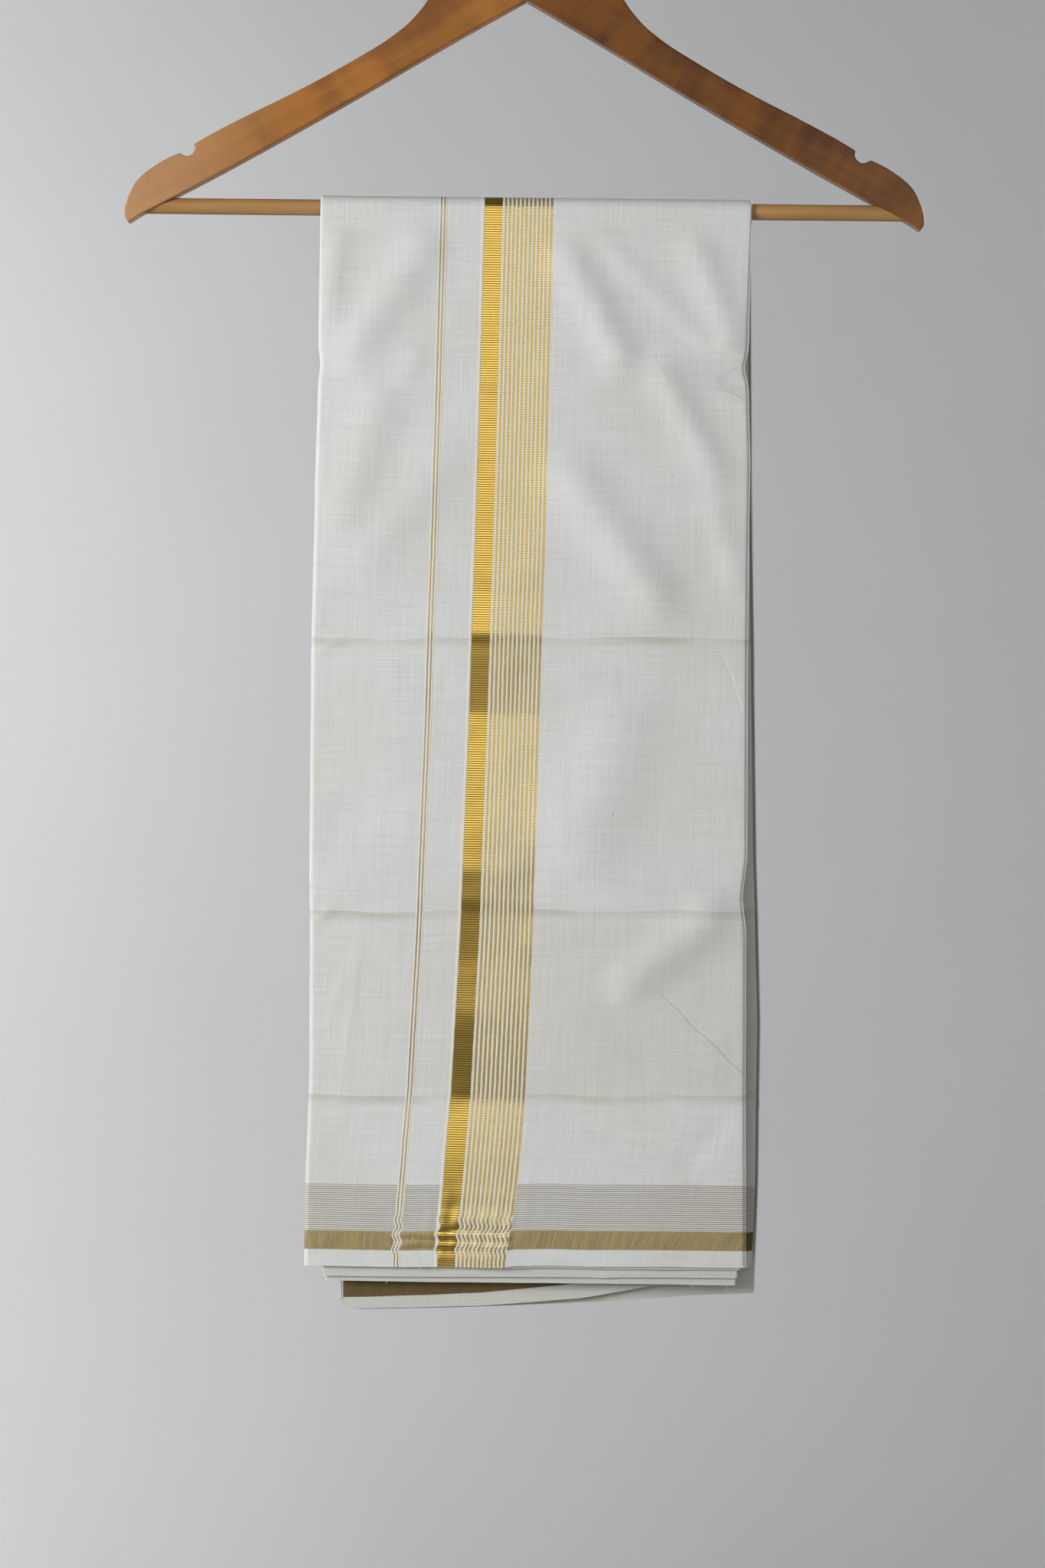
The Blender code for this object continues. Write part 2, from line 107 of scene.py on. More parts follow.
# Left edge of the gold band down the front: drop, x, width of the whole border
border = [
    (0, -21.9, 38.1), (100, -23.6, 38.4), (189, -25.4, 39.0), (240, -26.8, 39.0), (292, -27.9, 39.1),
    (372, -30.4, 39.8), (403, -31.3, 40.2), (471, -34.6, 41.0), (495, -35.7, 41.3), (514, -37.4, 41.7),
    (543, -39.4, 41.0), (566, -41.2, 40.0), (578, -42.6, 38.0), (590, -41.9, 37.5), (640, -41.9, 37.5)]
borderBackSlope = 0.026    # how the border leans down the back
borderWidth = 38.1         # of the whole border as it is woven


def smooth(value):
    # soft step from 0 to 1: 3 t squared less 2 t cubed
    value = np.clip(value, 0.0, 1.0)
    return value * value * (3.0 - 2.0 * value)


def column(table, place, key):
    # one column of a table, joined by straight lines
    rows = np.array(table, dtype=float)
    return np.interp(key, rows[:, 0], rows[:, place])


def softColumn(table, place, key, blur):
    # the same, averaged over a short stretch so that its corners are rounded
    steps = np.linspace(-blur, blur, 7)
    return sum(column(table, place, key + step) for step in steps) / len(steps)


def patchNoise(x, y, cell, seed):
    # random heights on a lattice of square cells, joined smoothly, from -1 to 1
    heights = np.random.default_rng(seed).uniform(-1.0, 1.0, (64, 64))
    u, v = x / cell, y / cell
    i, j = np.floor(u).astype(int), np.floor(v).astype(int)
    a, b = smooth(u - i), smooth(v - j)
    near = heights[i % 64, j % 64] * (1 - b) + heights[i % 64, (j + 1) % 64] * b
    far = heights[(i + 1) % 64, j % 64] * (1 - b) + heights[(i + 1) % 64, (j + 1) % 64] * b
    return near * (1 - a) + far * a


def ridge(x, drop, startX, startDrop, endX, endDrop, half):
    # a bell across the line between two points, tapered over a quarter of its length at each end
    run, fall = endX - startX, endDrop - startDrop
    length = math.hypot(run, fall)
    share = ((x - startX) * run + (drop - startDrop) * fall) / length ** 2
    away = ((x - startX) * fall - (drop - startDrop) * run) / length
    return smooth(share * 4.0) * smooth((1.0 - share) * 4.0) * np.exp(-((away / half) ** 2))


def standOut(x, drop, side):
    # how far a fall stands out: cross folds, fanned ridges, edge pinches and small unevenness
    name = "front" if side < 0 else "back"
    folds, ridges = cloth[name + "Folds"], cloth[name + "Ridges"]
    pinches, edges = cloth[name + "Pinches"], cloth[name + "Edges"]
    share = smooth((x - cloth["stripLeft"]) / cloth["stripWidth"])
    sway = drop + 1.6 * patchNoise(x, 0.0 * x + 7.0, 46.0, 3 + side) * smooth(drop / 60.0)
    left, right = softColumn(folds, 1, sway, 1.8), softColumn(folds, 2, sway, 1.8)
    total = left + (right - left) * share
    for startX, startDrop, endX, endDrop, out, half in ridges:
        total = total + out * ridge(x, drop, startX, startDrop, endX, endDrop, half)
    for hand, at, out, reach, half in pinches:
        inward = np.abs(x - column(edges, 1 if hand < 0 else 2, drop)) / reach
        total = total + out * (1.0 - smooth(inward)) * (1.0 - smooth(np.abs(drop - at) / half))
    uneven = 0.26 * patchNoise(x, drop, 34.0, 11 + side)
    uneven = uneven + 0.12 * patchNoise(x + 0.5 * drop, drop, 15.0, 17 + side)
    return (total + uneven) * smooth((drop - cloth["crossDrop"]) / 20.0)


# Crinkle near the front hem, where the end band and the border cross
crinkle = dict(acrossPitch=7.3, acrossHeight=0.16, alongPitch=5.4, alongHeight=0.3, patches=0.2)


def pucker(u, v):
    # a sine across and a sine along, each bent by patches, strongest where the two bands cross
    c = crinkle
    band = smooth((v - 5.0) / 6.0) * (1.0 - smooth((v - 26.0) / 22.0))
    woven = 0.35 + 0.65 * smooth((u + 30.0) / 6.0) * (1.0 - smooth((u - 36.0) / 8.0))
    across = np.sin(u * 2.0 * math.pi / c["acrossPitch"] + 1.8 * patchNoise(u, v, 11.0, 31))
    along = np.sin(v * 2.0 * math.pi / c["alongPitch"] + 1.3 * patchNoise(u, v, 13.0, 33))
    across, along = across * c["acrossHeight"], along * c["alongHeight"] * smooth((woven - 0.4) / 0.5)
    return band * woven * (across + along + c["patches"] * patchNoise(u, v, 5.5, 37))


def borderCoordinate(x, drop, side):
    # distance from the left edge of the gold band, across the cloth
    if side < 0:
        lean, width = softColumn(border, 1, drop, 9.0), softColumn(border, 2, drop, 9.0)
    else:
        lean, width = column(border, 1, 0.0) + borderBackSlope * drop, borderWidth
    away = x - lean
    return np.where(away > 0.0, away * borderWidth / width, away)


def curlRadius(drop, side):
    # of the turned-in side edges: doubled below the bar, tight again at the back's bottom fold
    radius = cloth["curl"] * (1.0 + smooth(drop / cloth["swellDrop"]))
    if side > 0:
        radius = radius * (1.0 - 0.75 * smooth((drop - 560.0) / 40.0))
    return radius


def fallColumns(rows, side, shares, inset=None):
    # x of each column; without an inset the side edges turn in on a small radius
    edges = cloth["frontEdges"] if side < 0 else cloth["backEdges"]
    left, right = softColumn(edges, 1, rows, 3.0)[:, None], softColumn(edges, 2, rows, 3.0)[:, None]
    radius = curlRadius(rows, side)[:, None]
    left, right = left + cloth["thickness"] / 2, right - cloth["thickness"] / 2
    if inset is None:
        lip = radius * (1.0 - np.cos(np.radians([0.0, 20.0, 40.0, 60.0, 80.0])))[None, :]
        inner = left + radius + (right - left - 2.0 * radius) * shares[None, :]
        return np.hstack([left + lip, inner, right - lip[:, ::-1]])
    start, end = left + inset[0], right - inset[1]
    return start + (end - start) * shares[None, :]


def fallSurface(rows, side, shares, foot, inset=None, fine=True):
    # middle surface of one fall of the outer ply and its woven coordinates
    x = fallColumns(rows, side, shares, inset)
    share = np.clip((rows[:, None] - cloth["shared"]) / (rows[-1] - cloth["shared"]), 0.0, 1.0)
    drop = np.minimum(rows[:, None], cloth["shared"]) + share * (foot(x) - cloth["shared"])
    out = cloth["overBar"] + cloth["swell"] * smooth(drop / cloth["swellDrop"]) + standOut(x, drop, side)
    u = borderCoordinate(x, drop, side)
    v = foot(x) - drop if side < 0 else drop
    if fine and side < 0:
        out = out + pucker(u, v)
    if inset is None:
        radius = curlRadius(rows, side)[:, None]
        near = np.minimum(x - x[:, :1], x[:, -1:] - x)
        short = np.clip(radius - near, 0.0, radius)
        out = out - (radius - np.sqrt(np.maximum(radius ** 2 - short ** 2, 0.0)))
    return np.stack([x, side * out, -drop], axis=-1), np.stack([u, v], axis=-1)


def archSurface(frontRow, backRow, frontMap, backMap, steps):
    # rows over the bar, turned from the front's top row to the back's
    turn = np.linspace(0.0, math.pi, steps + 2)[1:-1][:, None]
    share = (1.0 - np.cos(turn)) / 2.0
    radius = np.abs(frontRow[None, :, 1])
    x = frontRow[None, :, 0] * (1.0 - share) + backRow[None, :, 0] * share
    points = np.stack([x, -radius * np.cos(turn), radius * np.sin(turn)], axis=-1)
    u = frontMap[None, :, 0] * (1.0 - share) + backMap[None, :, 0] * share
    v = frontMap[None, :, 1] + cloth["overBar"] * turn + 0.0 * u
    return points, np.stack([u, v], axis=-1)


def normals(grid):
    # unit normals of a grid, from the differences of its neighbours
    cross = np.cross(np.gradient(grid, axis=1), np.gradient(grid, axis=0))
    return cross / np.maximum(np.linalg.norm(cross, axis=-1, keepdims=True), 1e-9)


def addObject(name, data):
    added = bpy.data.objects.new(name, data)
    bpy.context.scene.collection.objects.link(added)
    return added


def ringFaces(index):
    # four-sided faces between neighbouring rings of points, closed round each ring
    after = np.roll(index, -1, axis=-1)
    corners = [index[..., :-1, :], after[..., :-1, :], after[..., 1:, :], index[..., 1:, :]]
    return np.stack(corners, axis=-1).reshape(-1, 4).tolist()


def closedPiece(name, points, faces, material):
    # a closed piece from points in millimetres, its faces turned outwards
    mesh = bpy.data.meshes.new(name)
    mesh.from_pydata((points.reshape(-1, 3) * mm).tolist(), [], faces)
    work = bmesh.new()
    work.from_mesh(mesh)
    bmesh.ops.recalc_face_normals(work, faces=work.faces)
    work.to_mesh(mesh)
    work.free()
    mesh.materials.append(material)
    mesh.shade_smooth()
    return addObject(name, mesh)


def shellMesh(name, outside, inside, weave, material, innerShift=0.0):
    # closed shell between two grids that lie over each other, with the woven coordinates as its UV map;
    # innerShift moves the pattern across on the inner face and on the last rim
    rows, cols = outside.shape[:2]
    count = rows * cols
    top = np.arange(count).reshape(rows, cols)
    low = top + count
    quads = [
        np.stack([top[:-1, :-1], top[:-1, 1:], top[1:, 1:], top[1:, :-1]], axis=-1).reshape(-1, 4),
        np.stack([low[:-1, :-1], low[1:, :-1], low[1:, 1:], low[:-1, 1:]], axis=-1).reshape(-1, 4),
        np.stack([top[:-1, 0], top[1:, 0], low[1:, 0], low[:-1, 0]], axis=-1),
        np.stack([top[:-1, -1], low[:-1, -1], low[1:, -1], top[1:, -1]], axis=-1),
        np.stack([top[0, :-1], low[0, :-1], low[0, 1:], top[0, 1:]], axis=-1),
        np.stack([top[-1, :-1], top[-1, 1:], low[-1, 1:], low[-1, :-1]], axis=-1)]
    faces = np.concatenate(quads)
    points = np.concatenate([outside.reshape(-1, 3), inside.reshape(-1, 3)]) * mm
    points[:, 2] += barHeight * mm
    mesh = bpy.data.meshes.new(name)
    mesh.vertices.add(len(points))
    mesh.vertices.foreach_set("co", points.astype(np.float32).ravel())
    mesh.loops.add(faces.size)
    mesh.loops.foreach_set("vertex_index", faces.astype(np.int32).ravel())
    mesh.polygons.add(len(faces))
    mesh.polygons.foreach_set("loop_start", np.arange(0, faces.size, 4, dtype=np.int32))
    mesh.update(calc_edges=True)
    mesh.validate()
    layer = mesh.uv_layers.new(name="weave")
    flat = np.concatenate([weave.reshape(-1, 2)] * 2)[faces.ravel()]
    shifted = np.zeros(len(faces), dtype=bool)
    shifted[len(quads[0]):2 * len(quads[0])] = True
    shifted[len(faces) - len(quads[5]):] = True
    flat[:, 0] += np.repeat(shifted, 4) * innerShift
    layer.data.foreach_set("uv", flat.astype(np.float32).ravel())
    mesh.materials.append(material)
    mesh.shade_smooth()
    mesh.set_sharp_from_angle(angle=math.radians(55))
    return addObject(name, mesh)


# Shader helpers: those that work something out return the socket that carries it
def newMaterial(name):
    # a material, its tree and its shader
    material = bpy.data.materials.new(name)
    material.use_nodes = True
    nodes = material.node_tree.nodes
    return material, material.node_tree, nodes["Principled BSDF"]


def feed(tree, socket, value):
    # a fixed value is set on the socket, anything else is linked to it
    if isinstance(value, (int, float, tuple)):
        socket.default_value = value
    else:
        tree.links.new(value, socket)


def calc(tree, kind, first, second=0.0, third=0.0):
    # one sum of the given kind
    node = tree.nodes.new("ShaderNodeMath")
    node.operation = kind
    for socket, value in zip(node.inputs, (first, second, third)):
        feed(tree, socket, value)
    return node.outputs[0]


def times(tree, first, second):
    return calc(tree, "MULTIPLY", first, second)


def timesPlus(tree, value, factor, added):
    return calc(tree, "MULTIPLY_ADD", value, factor, added)


def ramp(tree, value, start, end):
    # 0 below start, 1 above end, soft between
    node = tree.nodes.new("ShaderNodeMapRange")
    node.interpolation_type = "SMOOTHSTEP"
    feed(tree, node.inputs["Value"], value)
    node.inputs["From Min"].default_value = start
    node.inputs["From Max"].default_value = end
    return node.outputs["Result"]


def fade(tree, value, start, end):
    # 1 below start, 0 above end
    return calc(tree, "SUBTRACT", 1.0, ramp(tree, value, start, end))


def between(tree, value, start, end, edge):
    # 1 between start and end, with soft edges
    rise = ramp(tree, value, start - edge, start + edge)
    fall = ramp(tree, value, end - edge, end + edge)
    return calc(tree, "SUBTRACT", rise, fall)


def blend(tree, share, first, second, kind="MIX"):
    # from the first colour at 0 to the second at 1
    node = tree.nodes.new("ShaderNodeMix")
    node.data_type = "RGBA"
    node.blend_type = kind
    feed(tree, node.inputs[0], share)
    feed(tree, node.inputs[6], first)
    feed(tree, node.inputs[7], second)
    return node.outputs[2]


def noise(tree, vector, scale, detail=2.0, stretch=(1.0, 1.0, 1.0), roughness=0.5):
    # cloudy values about 0.5: a small stretch on an axis draws them out along it
    mapping = tree.nodes.new("ShaderNodeMapping")
    mapping.inputs["Scale"].default_value = stretch
    tree.links.new(vector, mapping.inputs["Vector"])
    node = tree.nodes.new("ShaderNodeTexNoise")
    node.inputs["Scale"].default_value = scale
    node.inputs["Detail"].default_value = detail
    node.inputs["Roughness"].default_value = roughness
    tree.links.new(mapping.outputs[0], node.inputs["Vector"])
    return node.outputs["Fac"]


def wave(tree, value, pitch, phase=0.0):
    # 0 to 1 and back once each pitch
    turn = timesPlus(tree, value, 2.0 * math.pi / pitch, phase)
    return timesPlus(tree, calc(tree, "SINE", turn), 0.5, 0.5)


def objectPlace(tree):
    return tree.nodes.new("ShaderNodeTexCoord").outputs["Object"]


def setLooks(tree, shader, looks):
    # the shader's sockets by name, each with a fixed value or a worked-out one
    for name, value in looks.items():
        feed(tree, shader.inputs[name], value)


def setRelief(tree, shader, height, strength, distance):
    bump = tree.nodes.new("ShaderNodeBump")
    bump.inputs["Strength"].default_value = strength
    bump.inputs["Distance"].default_value = distance
    tree.links.new(height, bump.inputs["Height"])
    tree.links.new(bump.outputs[0], shader.inputs["Normal"])


def flecks(tree, spot, detail, across, along, roughness=0.5):
    # noise over the weave: small numbers draw it out across or along the cloth
    return noise(tree, spot, 1.0, detail, (across, along, 1.0), roughness)


def fineCrease(tree, u, v, bend, startU, startV, endU, endV, half, strength):
    # full on the line between two woven places, 0 half a width beside it, faded at both ends
    run, rise = endU - startU, endV - startV
    length = math.hypot(run, rise)
    along = timesPlus(tree, v, rise / length ** 2, -(startU * run + startV * rise) / length ** 2)
    along = timesPlus(tree, u, run / length ** 2, along)
    away = timesPlus(tree, v, -run / length, (startV * run - startU * rise) / length)
    away = timesPlus(tree, u, rise / length, away)
    away = calc(tree, "ABSOLUTE", calc(tree, "ADD", bend, away))
    ends = times(tree, ramp(tree, along, 0.0, 0.4), fade(tree, along, 0.85, 1.0))
    core = fade(tree, away, 0.0, half)
    return times(tree, times(tree, ends, core), strength)


# Lengths in millimetres: U across from the gold band's left edge, V up from the front hem
weaving = dict(
    cotton=(0.635, 0.645, 0.635, 1.0),
    # warm cotton for random warm patches and for painted shade on a stretch that faces down
    warmShadedCotton=(0.60, 0.585, 0.54, 1.0),
    # painted shade along the creases
    creaseShadeColour=(0.44, 0.395, 0.315, 1.0),
    # painted shade: a darker cotton for inner faces and for the plies behind the outer one
    shadedCotton=(0.49, 0.48, 0.435, 1.0),   # inner faces of single plies
    # painted shade for the inner end's band
    shadedGold=(0.085, 0.054, 0.013, 1.0),
    gold=(0.74, 0.525, 0.125, 1.0),
    goldShadow=(0.15, 0.062, 0.006, 1.0),
    gapCream=(0.39, 0.32, 0.18, 1.0),
    dullGold=(0.25, 0.19, 0.095, 1.0),
    endTan=(0.29, 0.235, 0.135, 1.0),
    taupe=(0.26, 0.22, 0.15, 1.0),
    cord=(0.72, 0.70, 0.62, 1.0),
    cordShade=(0.45, 0.41, 0.30, 1.0),
    bandWidth=10.0,
    stripes=12,
    stripePitch=2.32,
    stripeGold=1.36,
    firstStripe=11.15,
    ribPitch=1.315,
    twinLine=-23.0,
    twinReach=0.95,
    twinHalf=0.31,
    # pressed creases, as heights above the front hem measured over the cloth
    creases=[348.8, 197.2, 94.6, 847.0, 1003.0, 1107.0],
    innerShift=400.0,          # moves the pattern across on inner faces, past the border
    innerSide=(240.0, 260.0),  # U where an inner face's plain cotton starts
    # fine crumple lines, each a painted shade line with a bump: U and V at one end, at the other, half
    # width, strength (below 0 for a painted highlight line)
    crumples=[
        (92.3, 163.5, 156.3, 101.5, 1.0, 0.85), (132.0, 352.0, 149.0, 306.0, 1.3, -0.5),
        (131.0, 496.0, 141.0, 500.0, 1.6, 0.5), (133.0, 489.0, 146.0, 482.0, 1.4, 0.7),
        (92.0, 510.0, 104.0, 492.0, 1.8, 0.4), (-52.0, 188.0, -60.0, 118.0, 2.2, 0.25),
        (-79.0, 212.0, -93.0, 206.0, 1.4, 0.6), (70.0, 905.0, 124.0, 950.0, 1.0, 0.8),
        (-60.0, 760.0, -82.0, 722.0, 1.6, 0.5)],
    finePitch=1.18,
)


# Where an end band starts and ends above its hem, and where the fine lines above it end. The plain plies
# show no band, so theirs lies below the hem.
endBands = dict(
    outer=dict(bandStart=9.3, bandEnd=19.8, linesEnd=45.3, withBorder=True),
    plain=dict(bandStart=-90.0, bandEnd=-80.0, linesEnd=-79.0, withBorder=False),
    # the inner end's band gets painted shade, as it lies in shade under the front plies
    inner=dict(bandStart=6.5, bandEnd=17.0, linesEnd=42.0, withBorder=False, bandShade=0.8),
)


def clothMaterial(name, bandStart, bandEnd, linesEnd, withBorder, bandShade=0.0):
    # plain weave cotton with its woven gold: colours laid over one another, painted shade among them, then
    # the relief of the threads
    material, tree, shader = newMaterial(name)
    w = weaving
    weave = tree.nodes.new("ShaderNodeUVMap")
    weave.uv_map = "weave"
    spot = weave.outputs[0]
    split = tree.nodes.new("ShaderNodeSeparateXYZ")
    tree.links.new(spot, split.inputs[0])
    u, v = split.outputs[:2]
    warpSlub = flecks(tree, spot, 3.0, 1.9, 0.035, 0.6)
    weftSlub = flecks(tree, spot, 3.0, 0.035, 1.9, 0.6)
    cloud = flecks(tree, spot, 2.0, 0.02, 0.02)
    speck = ramp(tree, flecks(tree, spot, 1.0, 0.5, 0.4), 0.765, 0.79)
    threads = calc(tree, "ADD", warpSlub, weftSlub)
    broad = calc(tree, "ADD", flecks(tree, spot, 1.0, 0.018, 0.62), flecks(tree, spot, 1.0, 0.62, 0.014))
    light = timesPlus(tree, threads, 0.27, 0.73)
    light = timesPlus(tree, broad, 0.11, calc(tree, "SUBTRACT", light, 0.11))
    light = timesPlus(tree, cloud, 0.06, calc(tree, "SUBTRACT", light, 0.03))
    light = timesPlus(tree, speck, -0.28, light)
    crumple = times(tree, speck, 0.0)
    if withBorder:
        bend = timesPlus(tree, flecks(tree, spot, 1.0, 0.05, 0.05), 5.0, -2.5)
        for line in w["crumples"]:
            crumple = calc(tree, "ADD", crumple, fineCrease(tree, u, v, bend, *line))
    # painted shade along the fine crumple lines, and a painted highlight where a line's strength is below 0
    light = timesPlus(tree, crumple, -0.13, light)
    warmth = ramp(tree, flecks(tree, spot, 2.0, 0.011, 0.009), 0.42, 0.68)
    # painted shade: the stretch between the two lower creases, which faces down, is painted warmer and
    # darker, more so on the right
    shadedBand = between(tree, v, w["creases"][2], w["creases"][1] - 6.0, 7.0)
    shadedBand = times(tree, shadedBand, timesPlus(tree, ramp(tree, u, -60.0, 60.0), 0.5, 0.3))
    warmth = calc(tree, "MAXIMUM", times(tree, warmth, 0.6), shadedBand)
    dry = blend(tree, warmth, w["cotton"], w["warmShadedCotton"])
    # painted shade: inner faces, and the plain plies behind the outer one, are blended towards a darker
    # cotton
    dry = blend(tree, ramp(tree, u, *w["innerSide"]) if withBorder else 0.6, dry, w["shadedCotton"])
    # each pressed crease has a crisp upper edge and fades below it
    wander = timesPlus(tree, flecks(tree, spot, 1.0, 0.02, 0.002), 5.0, -2.5)
    climb = calc(tree, "ADD", v, wander)
    creaseShade = times(tree, warmth, 0.0)
    # painted shade below each pressed crease: a crisp upper edge that fades below it
    for level in w["creases"]:
        edge = times(tree, ramp(tree, climb, level - 7.0, level - 0.6),
                     fade(tree, climb, level - 0.2, level + 0.7))
        creaseShade = calc(tree, "MAXIMUM", creaseShade, edge)
    patchy = ramp(tree, flecks(tree, spot, 2.0, 0.022, 0.004), 0.30, 0.72)
    creaseShade = times(tree, creaseShade, timesPlus(tree, patchy, 0.42, 0.20))
    plainColour = blend(tree, 1.0, blend(tree, creaseShade, dry, w["creaseShadeColour"]), light, "MULTIPLY")

    # rounded gold threads in the band, and shorter dashes of them in the stripes
    ribs = wave(tree, v, w["ribPitch"])
    tops = ramp(tree, ribs, 0.02, 0.52)
    dashes = ramp(tree, ribs, 0.26, 0.56)
    jitter = timesPlus(tree, flecks(tree, spot, 2.0, 0.5, 0.12), 0.5, -0.25)
    loose = times(tree, ramp(tree, v, 3.0, 9.0), fade(tree, v, 22.0, 34.0))
    swing = calc(tree, "SUBTRACT", wave(tree, v, 8.6, 0.9), 0.5)
    jitter = timesPlus(tree, times(tree, loose, swing), 1.5, jitter)
    uj = calc(tree, "ADD", u, jitter)
    # end band and the fine lines above it
    band = between(tree, v, bandStart, bandEnd, 0.3)
    fine = times(tree, between(tree, v, bandEnd + 0.3, linesEnd, 0.3),
                 ramp(tree, wave(tree, v, w["finePitch"]), 0.42, 0.70))
    if withBorder:
        endCloth = calc(tree, "SUBTRACT", 1.0, between(tree, u, -1.6, 38.2, 0.2))
        twinGap = between(tree, uj, w["twinLine"] - 2.3, w["twinLine"] + 2.3, 0.2)
        endCloth = times(tree, endCloth, calc(tree, "SUBTRACT", 1.0, twinGap))
        band = times(tree, band, endCloth)
        fine = times(tree, fine, endCloth)
        solid = between(tree, uj, 0.0, w["bandWidth"], 0.18)
        stripeEnd = w["firstStripe"] + w["stripes"] * w["stripePitch"] - 0.9
        field = between(tree, uj, w["firstStripe"] - 0.2, stripeEnd, 0.15)
        ahead = 200 * w["stripePitch"] - w["firstStripe"]
        place = calc(tree, "MODULO", calc(tree, "ADD", uj, ahead), w["stripePitch"])
        lane = times(tree, field, between(tree, place, 0.12, w["stripeGold"], 0.14))
        twinOff = calc(tree, "ABSOLUTE", calc(tree, "SUBTRACT", uj, w["twinLine"]))
        twin = between(tree, twinOff, w["twinReach"] - w["twinHalf"], w["twinReach"] + w["twinHalf"], 0.1)
        lane = calc(tree, "MAXIMUM", lane, twin)
        stripe = times(tree, lane, dashes)
        cords = times(tree, field,
                      between(tree, place, w["stripeGold"] + 0.16, w["stripePitch"] - 0.04, 0.12))
        ladder = between(tree, uj, -1.55, -0.15, 0.15)
        cords = calc(tree, "ADD", cords, ladder)
        for offset in (-1.75, 0.0, 1.75):
            at = w["twinLine"] + offset
            cords = calc(tree, "ADD", cords, between(tree, uj, at - 0.36, at + 0.36, 0.1))
        bright = calc(tree, "MAXIMUM", solid, times(tree, stripe, 0.95))
    else:
        bright = times(tree, band, 0.0)
        cords, lane = bright, bright

    glint = flecks(tree, spot, 2.0, 1.3, 0.16, 0.7)
    streak = flecks(tree, spot, 3.0, 0.75, 0.05, 0.7)
    # painted shade: the gaps between the rounded gold ribs and the twin lines are blended towards the
    # shadow tone, with random patches
    gap = times(tree, calc(tree, "SUBTRACT", 1.0, tops), 0.85)
    shade = timesPlus(tree, glint, 0.24, gap)
    if withBorder:
        shade = timesPlus(tree, twin, 0.45, shade)
    goldTone = blend(tree, shade, w["gold"], w["goldShadow"])
    bandTone = blend(tree, ramp(tree, streak, 0.30, 0.80), w["dullGold"], w["gold"])
    # painted shade: the inner end's band is blended towards a dark gold
    bandTone = blend(tree, bandShade, blend(tree, 0.66, bandTone, w["endTan"]), w["shadedGold"])
    whiteCord = blend(tree, times(tree, ribs, 0.16), w["cord"], w["cordShade"])
    colour = blend(tree, fine, plainColour, blend(tree, 0.12, w["taupe"], w["cotton"]))
    colour = blend(tree, band, colour, bandTone)
    colour = blend(tree, lane, colour, w["gapCream"])
    colour = blend(tree, cords, colour, whiteCord)
    colour = blend(tree, bright, colour, goldTone)
    metal = calc(tree, "MAXIMUM", times(tree, bright, 0.94), times(tree, band, 0.42))
    grainLine = tree.nodes.new("ShaderNodeTangent")
    grainLine.direction_type = "UV_MAP"
    grainLine.uv_map = "weave"
    setLooks(tree, shader, {
        "Base Color": colour, "Metallic": metal, "Roughness": timesPlus(tree, metal, -0.64, 0.88),
        "Tangent": grainLine.outputs[0], "Anisotropic": 0.75, "Sheen Weight": 0.04, "Sheen Roughness": 0.45,
        "Specular IOR Level": 0.30})

    # thread relief: slubs and the crossing of warp and weft, ribs and raised white cords in the border
    over = wave(tree, u, 0.62)
    under = wave(tree, v, 0.62)
    crossing = times(tree, over, under)
    height = timesPlus(tree, threads, 0.55, times(tree, crossing, 0.25))
    height = times(tree, height, timesPlus(tree, bright, -0.8, 1.0))
    height = timesPlus(tree, calc(tree, "MAXIMUM", bright, lane), times(tree, tops, 0.17), height)
    height = timesPlus(tree, cords, times(tree, ribs, 0.3), height)
    height = timesPlus(tree, cords, 0.9, height)
    height = timesPlus(tree, band, times(tree, streak, 1.8), height)
    height = timesPlus(tree, fine, 0.45, height)
    height = timesPlus(tree, crumple, 1.6, height)
    setRelief(tree, shader, height, 0.55, 0.22 * mm)
    return material


# Woods: colour between the grain and in it, the grain's slope in degrees, roughness, how strong the curled
# figure is and how far the ends turn paler
woods = dict(
    honey=dict(light=(0.36, 0.138, 0.020, 1.0), dark=(0.155, 0.052, 0.006, 1.0), tilt=30.0, gloss=0.34,
               curl=0.55, paleEnds=0.42),
    brown=dict(light=(0.175, 0.058, 0.003, 1.0), dark=(0.055, 0.015, 0.001, 1.0), tilt=-30.0, gloss=0.34,
               curl=1.1, paleEnds=0.05),
    pale=dict(light=(0.445, 0.245, 0.092, 1.0), dark=(0.265, 0.135, 0.041, 1.0), tilt=0.0, gloss=0.5,
              curl=0.0, paleEnds=0.0),
)
paleEndWood = (0.58, 0.38, 0.215, 1.0)
paleFrom, paleTo = 0.12, 0.225


